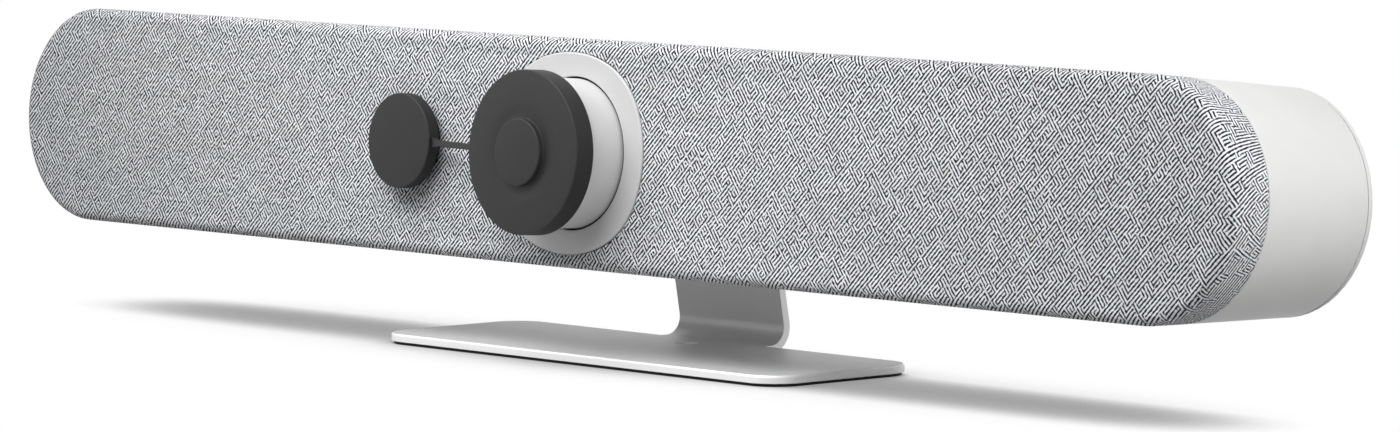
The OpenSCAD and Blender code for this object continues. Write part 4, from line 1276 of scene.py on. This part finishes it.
@dataclass
class Viewfinder(SubAssembly):
    """The small second camera under its cap."""

    kept = ("viewfinder_window", "viewfinder_camera")
    mouth: float = 21.3
    mouth_round: float = 0.6
    bore: float = 18.5
    neck: float = 19.2
    fine_round: float = 0.4
    stands_out: float = 8.8
    step: float = 4.8
    step_round: float = 0.5
    flange_depth: float = 10.0
    flange: float = 26.0
    baffle: float = 14.0
    can: float = 15.0
    can_wall: float = 2.8

    def build(self) -> None:
        """Makes the housing with its narrower neck where it passes through the cloth."""
        end = (IN_BAR.inverted() @ Vector(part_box("viewfinder_housing")[1])).y
        can_bore, can_back = self.can - self.can_wall, end - self.can_wall
        section = [
            Corner(0, can_back),
            Corner(can_bore, can_back),
            Corner(can_bore, 0),
            Corner(self.bore, 0),
            Corner(self.bore, -self.stands_out, self.fine_round),
            Corner(self.mouth, -self.stands_out, self.mouth_round),
            Corner(self.mouth, -self.step, self.step_round),
            Corner(self.neck, -self.step, self.fine_round),
            Corner(self.neck, self.flange_depth),
            Corner(self.flange, self.flange_depth, self.fine_round),
            Corner(self.flange, self.baffle, self.fine_round),
            Corner(self.can, self.baffle),
            Corner(self.can, end, self.step_round),
            Corner(0, end),
        ]
        shape = turned(section, closed=False, shift=FINDER_X)
        fit(shape, "viewfinder_shell", Body.HOUSING, "dark_plastic", "viewfinder_housing")


@dataclass
class CameraHead(SubAssembly):
    """The panning and tilting ball head with its drives and optics."""

    kept = (
        "camera_bracket", "pan_motor", "pan_pinion", "pan_yoke", "pan_sector", "tilt_motor",
        "tilt_pinion", "head_shell", "tilt_sector", "head_window", "lens_tube", "sensor_board",
        "zoom_group", "focus_group",
    )


@dataclass
class Speakers(SubAssembly):
    """The two speaker boxes with their woofers and passive radiators."""

    kept = tuple(
        f"{part}_{side}"
        for part in (
            "speaker_box", "woofer_basket", "woofer_magnet", "woofer_surround", "woofer_cone",
            "radiator_surrounds", "radiator_front", "radiator_rear",
        )
        for side in ("left", "right")
    ) + ("radiator_rings",)


@dataclass
class Electronics(SubAssembly):
    """The boards, microphones and sockets."""

    kept = (
        "main_board", "heat_sink", "mic_strips", "mic_boots", "power_inlet", "video_ports",
        "usb_ports", "network_ports", "pairing_button",
    )


@dataclass
class TableStand(SubAssembly):
    """The bent sheet stand, its pad and its screws."""

    kept = ("stand_bracket", "stand_pad", "stand_screws")


@dataclass(frozen=True)
class SoftSun:
    """A very wide soft light that is far away; its angles are in degrees."""

    name: str
    strength: float
    spread: float
    tip: float
    turn: float

    def hang(self) -> None:
        """Puts the light in the scene."""
        data = bpy.data.lights.new(self.name, "SUN")
        data.energy = self.strength
        data.angle = math.radians(self.spread)
        lamp = put(self.name, data)
        lamp.rotation_euler = (math.radians(self.tip), 0, math.radians(self.turn))


@dataclass(frozen=True)
class Softbox:
    """A soft box near the object, in metres."""

    name: str
    power: float
    width: float
    height: float
    place: tuple[float, float, float]
    aim: tuple[float, float, float]

    def hang(self) -> None:
        """Puts the light in the scene."""
        data = bpy.data.lights.new(self.name, "AREA")
        data.shape = "RECTANGLE"
        data.size, data.size_y = self.width, self.height
        data.energy = self.power
        lamp = put(self.name, data)
        lamp.location = self.place
        lamp.rotation_euler = (Vector(self.aim) - Vector(self.place)).to_track_quat("-Z", "Y").to_euler()


SOFT_LIGHTS = (
    SoftSun("left_front", strength=0.31, spread=70, tip=62, turn=-45),
    Softbox(
        "front_box", power=2.7, width=0.9, height=0.4, place=(-0.08, -0.5, 0.62), aim=(0.0, -0.05, 0.12)
    ),
    Softbox("top_box", power=1.95, width=0.7, height=0.3, place=(-0.02, -0.3, 0.5), aim=(0.0, -0.1, 0.12)),
    Softbox("right_box", power=2.1, width=0.4, height=0.4, place=(0.8, -0.05, 0.35), aim=(0.4, 0.0, 0.1)),
    SoftSun("rear_fill", strength=0.5, spread=50, tip=88, turn=180),
)


@dataclass
class Studio:
    """The camera, the lights and the pale floor.

    The angles are in radians, focal and image_width in pixels, distance, sensor and look_at in
    millimetres, and far_clip and floor_size in metres.
    """

    azimuth: float = 0.83479
    elevation: float = 0.08177
    distance: float = 3223.46
    focal: float = 6596.6
    image_width: float = 1400.0
    sensor: float = 36.0
    far_clip: float = 100.0
    look_at: tuple[float, float, float] = (97.98, -49.25, 80.75)
    floor_size: float = 60.0
    sky: float = 0.165

    def camera(self) -> None:
        """Sets up the camera at the photograph's viewing angle."""
        turn, rise = self.azimuth, self.elevation
        back = Vector((math.sin(turn) * math.cos(rise), -math.cos(turn) * math.cos(rise), math.sin(rise)))
        data = bpy.data.cameras.new("camera")
        data.sensor_width = self.sensor
        data.lens = self.focal * self.sensor / self.image_width
        data.clip_end = self.far_clip
        view = put("camera", data)
        view.location = (Vector(self.look_at) + self.distance * back) * MM
        view.rotation_euler = (-back).to_track_quat("-Z", "Y").to_euler()
        bpy.context.scene.camera = view

    def lights(self) -> None:
        """Lights the object with wide soft lights and an even sky."""
        for light in SOFT_LIGHTS:
            light.hang()
        world = bpy.data.worlds.new("sky")
        world.use_nodes = True
        graph = Graph(world.node_tree)
        wired = {"Value": graph.seen(), "To Min": self.sky, "To Max": 1.0}
        level = graph.add("ShaderNodeMapRange", wired).outputs[0]
        background = graph.tree.nodes["Background"]
        background.inputs["Color"].default_value = WHITE
        graph.join(level, background.inputs["Strength"])
        bpy.context.scene.world = world

    def floor(self) -> None:
        """Lays the pale floor."""
        shape = bmesh.new()
        bmesh.ops.create_grid(shape, x_segments=1, y_segments=1, size=self.floor_size / 2)
        ground = put_mesh(shape, "floor", StudioFloor("floor").make())

    def build(self) -> None:
        """Sets up the camera, the lights and the floor."""
        bpy.context.scene.view_settings.view_transform = "Standard"
        self.camera()
        self.lights()
        self.floor()


def main() -> None:
    """Builds the video bar in order; each new piece logs its number of faces."""
    logging.basicConfig(level=logging.INFO, format="%(name)s %(message)s")
    Studio().build()
    groups = (
        GrilleCloth(), Casing(), LensMount(), LensCaps(), Viewfinder(), CameraHead(), Speakers(),
        Electronics(), TableStand(),
    )
    for group in groups:
        group.dress()
        group.build()


if __name__ == "__main__":
    main()
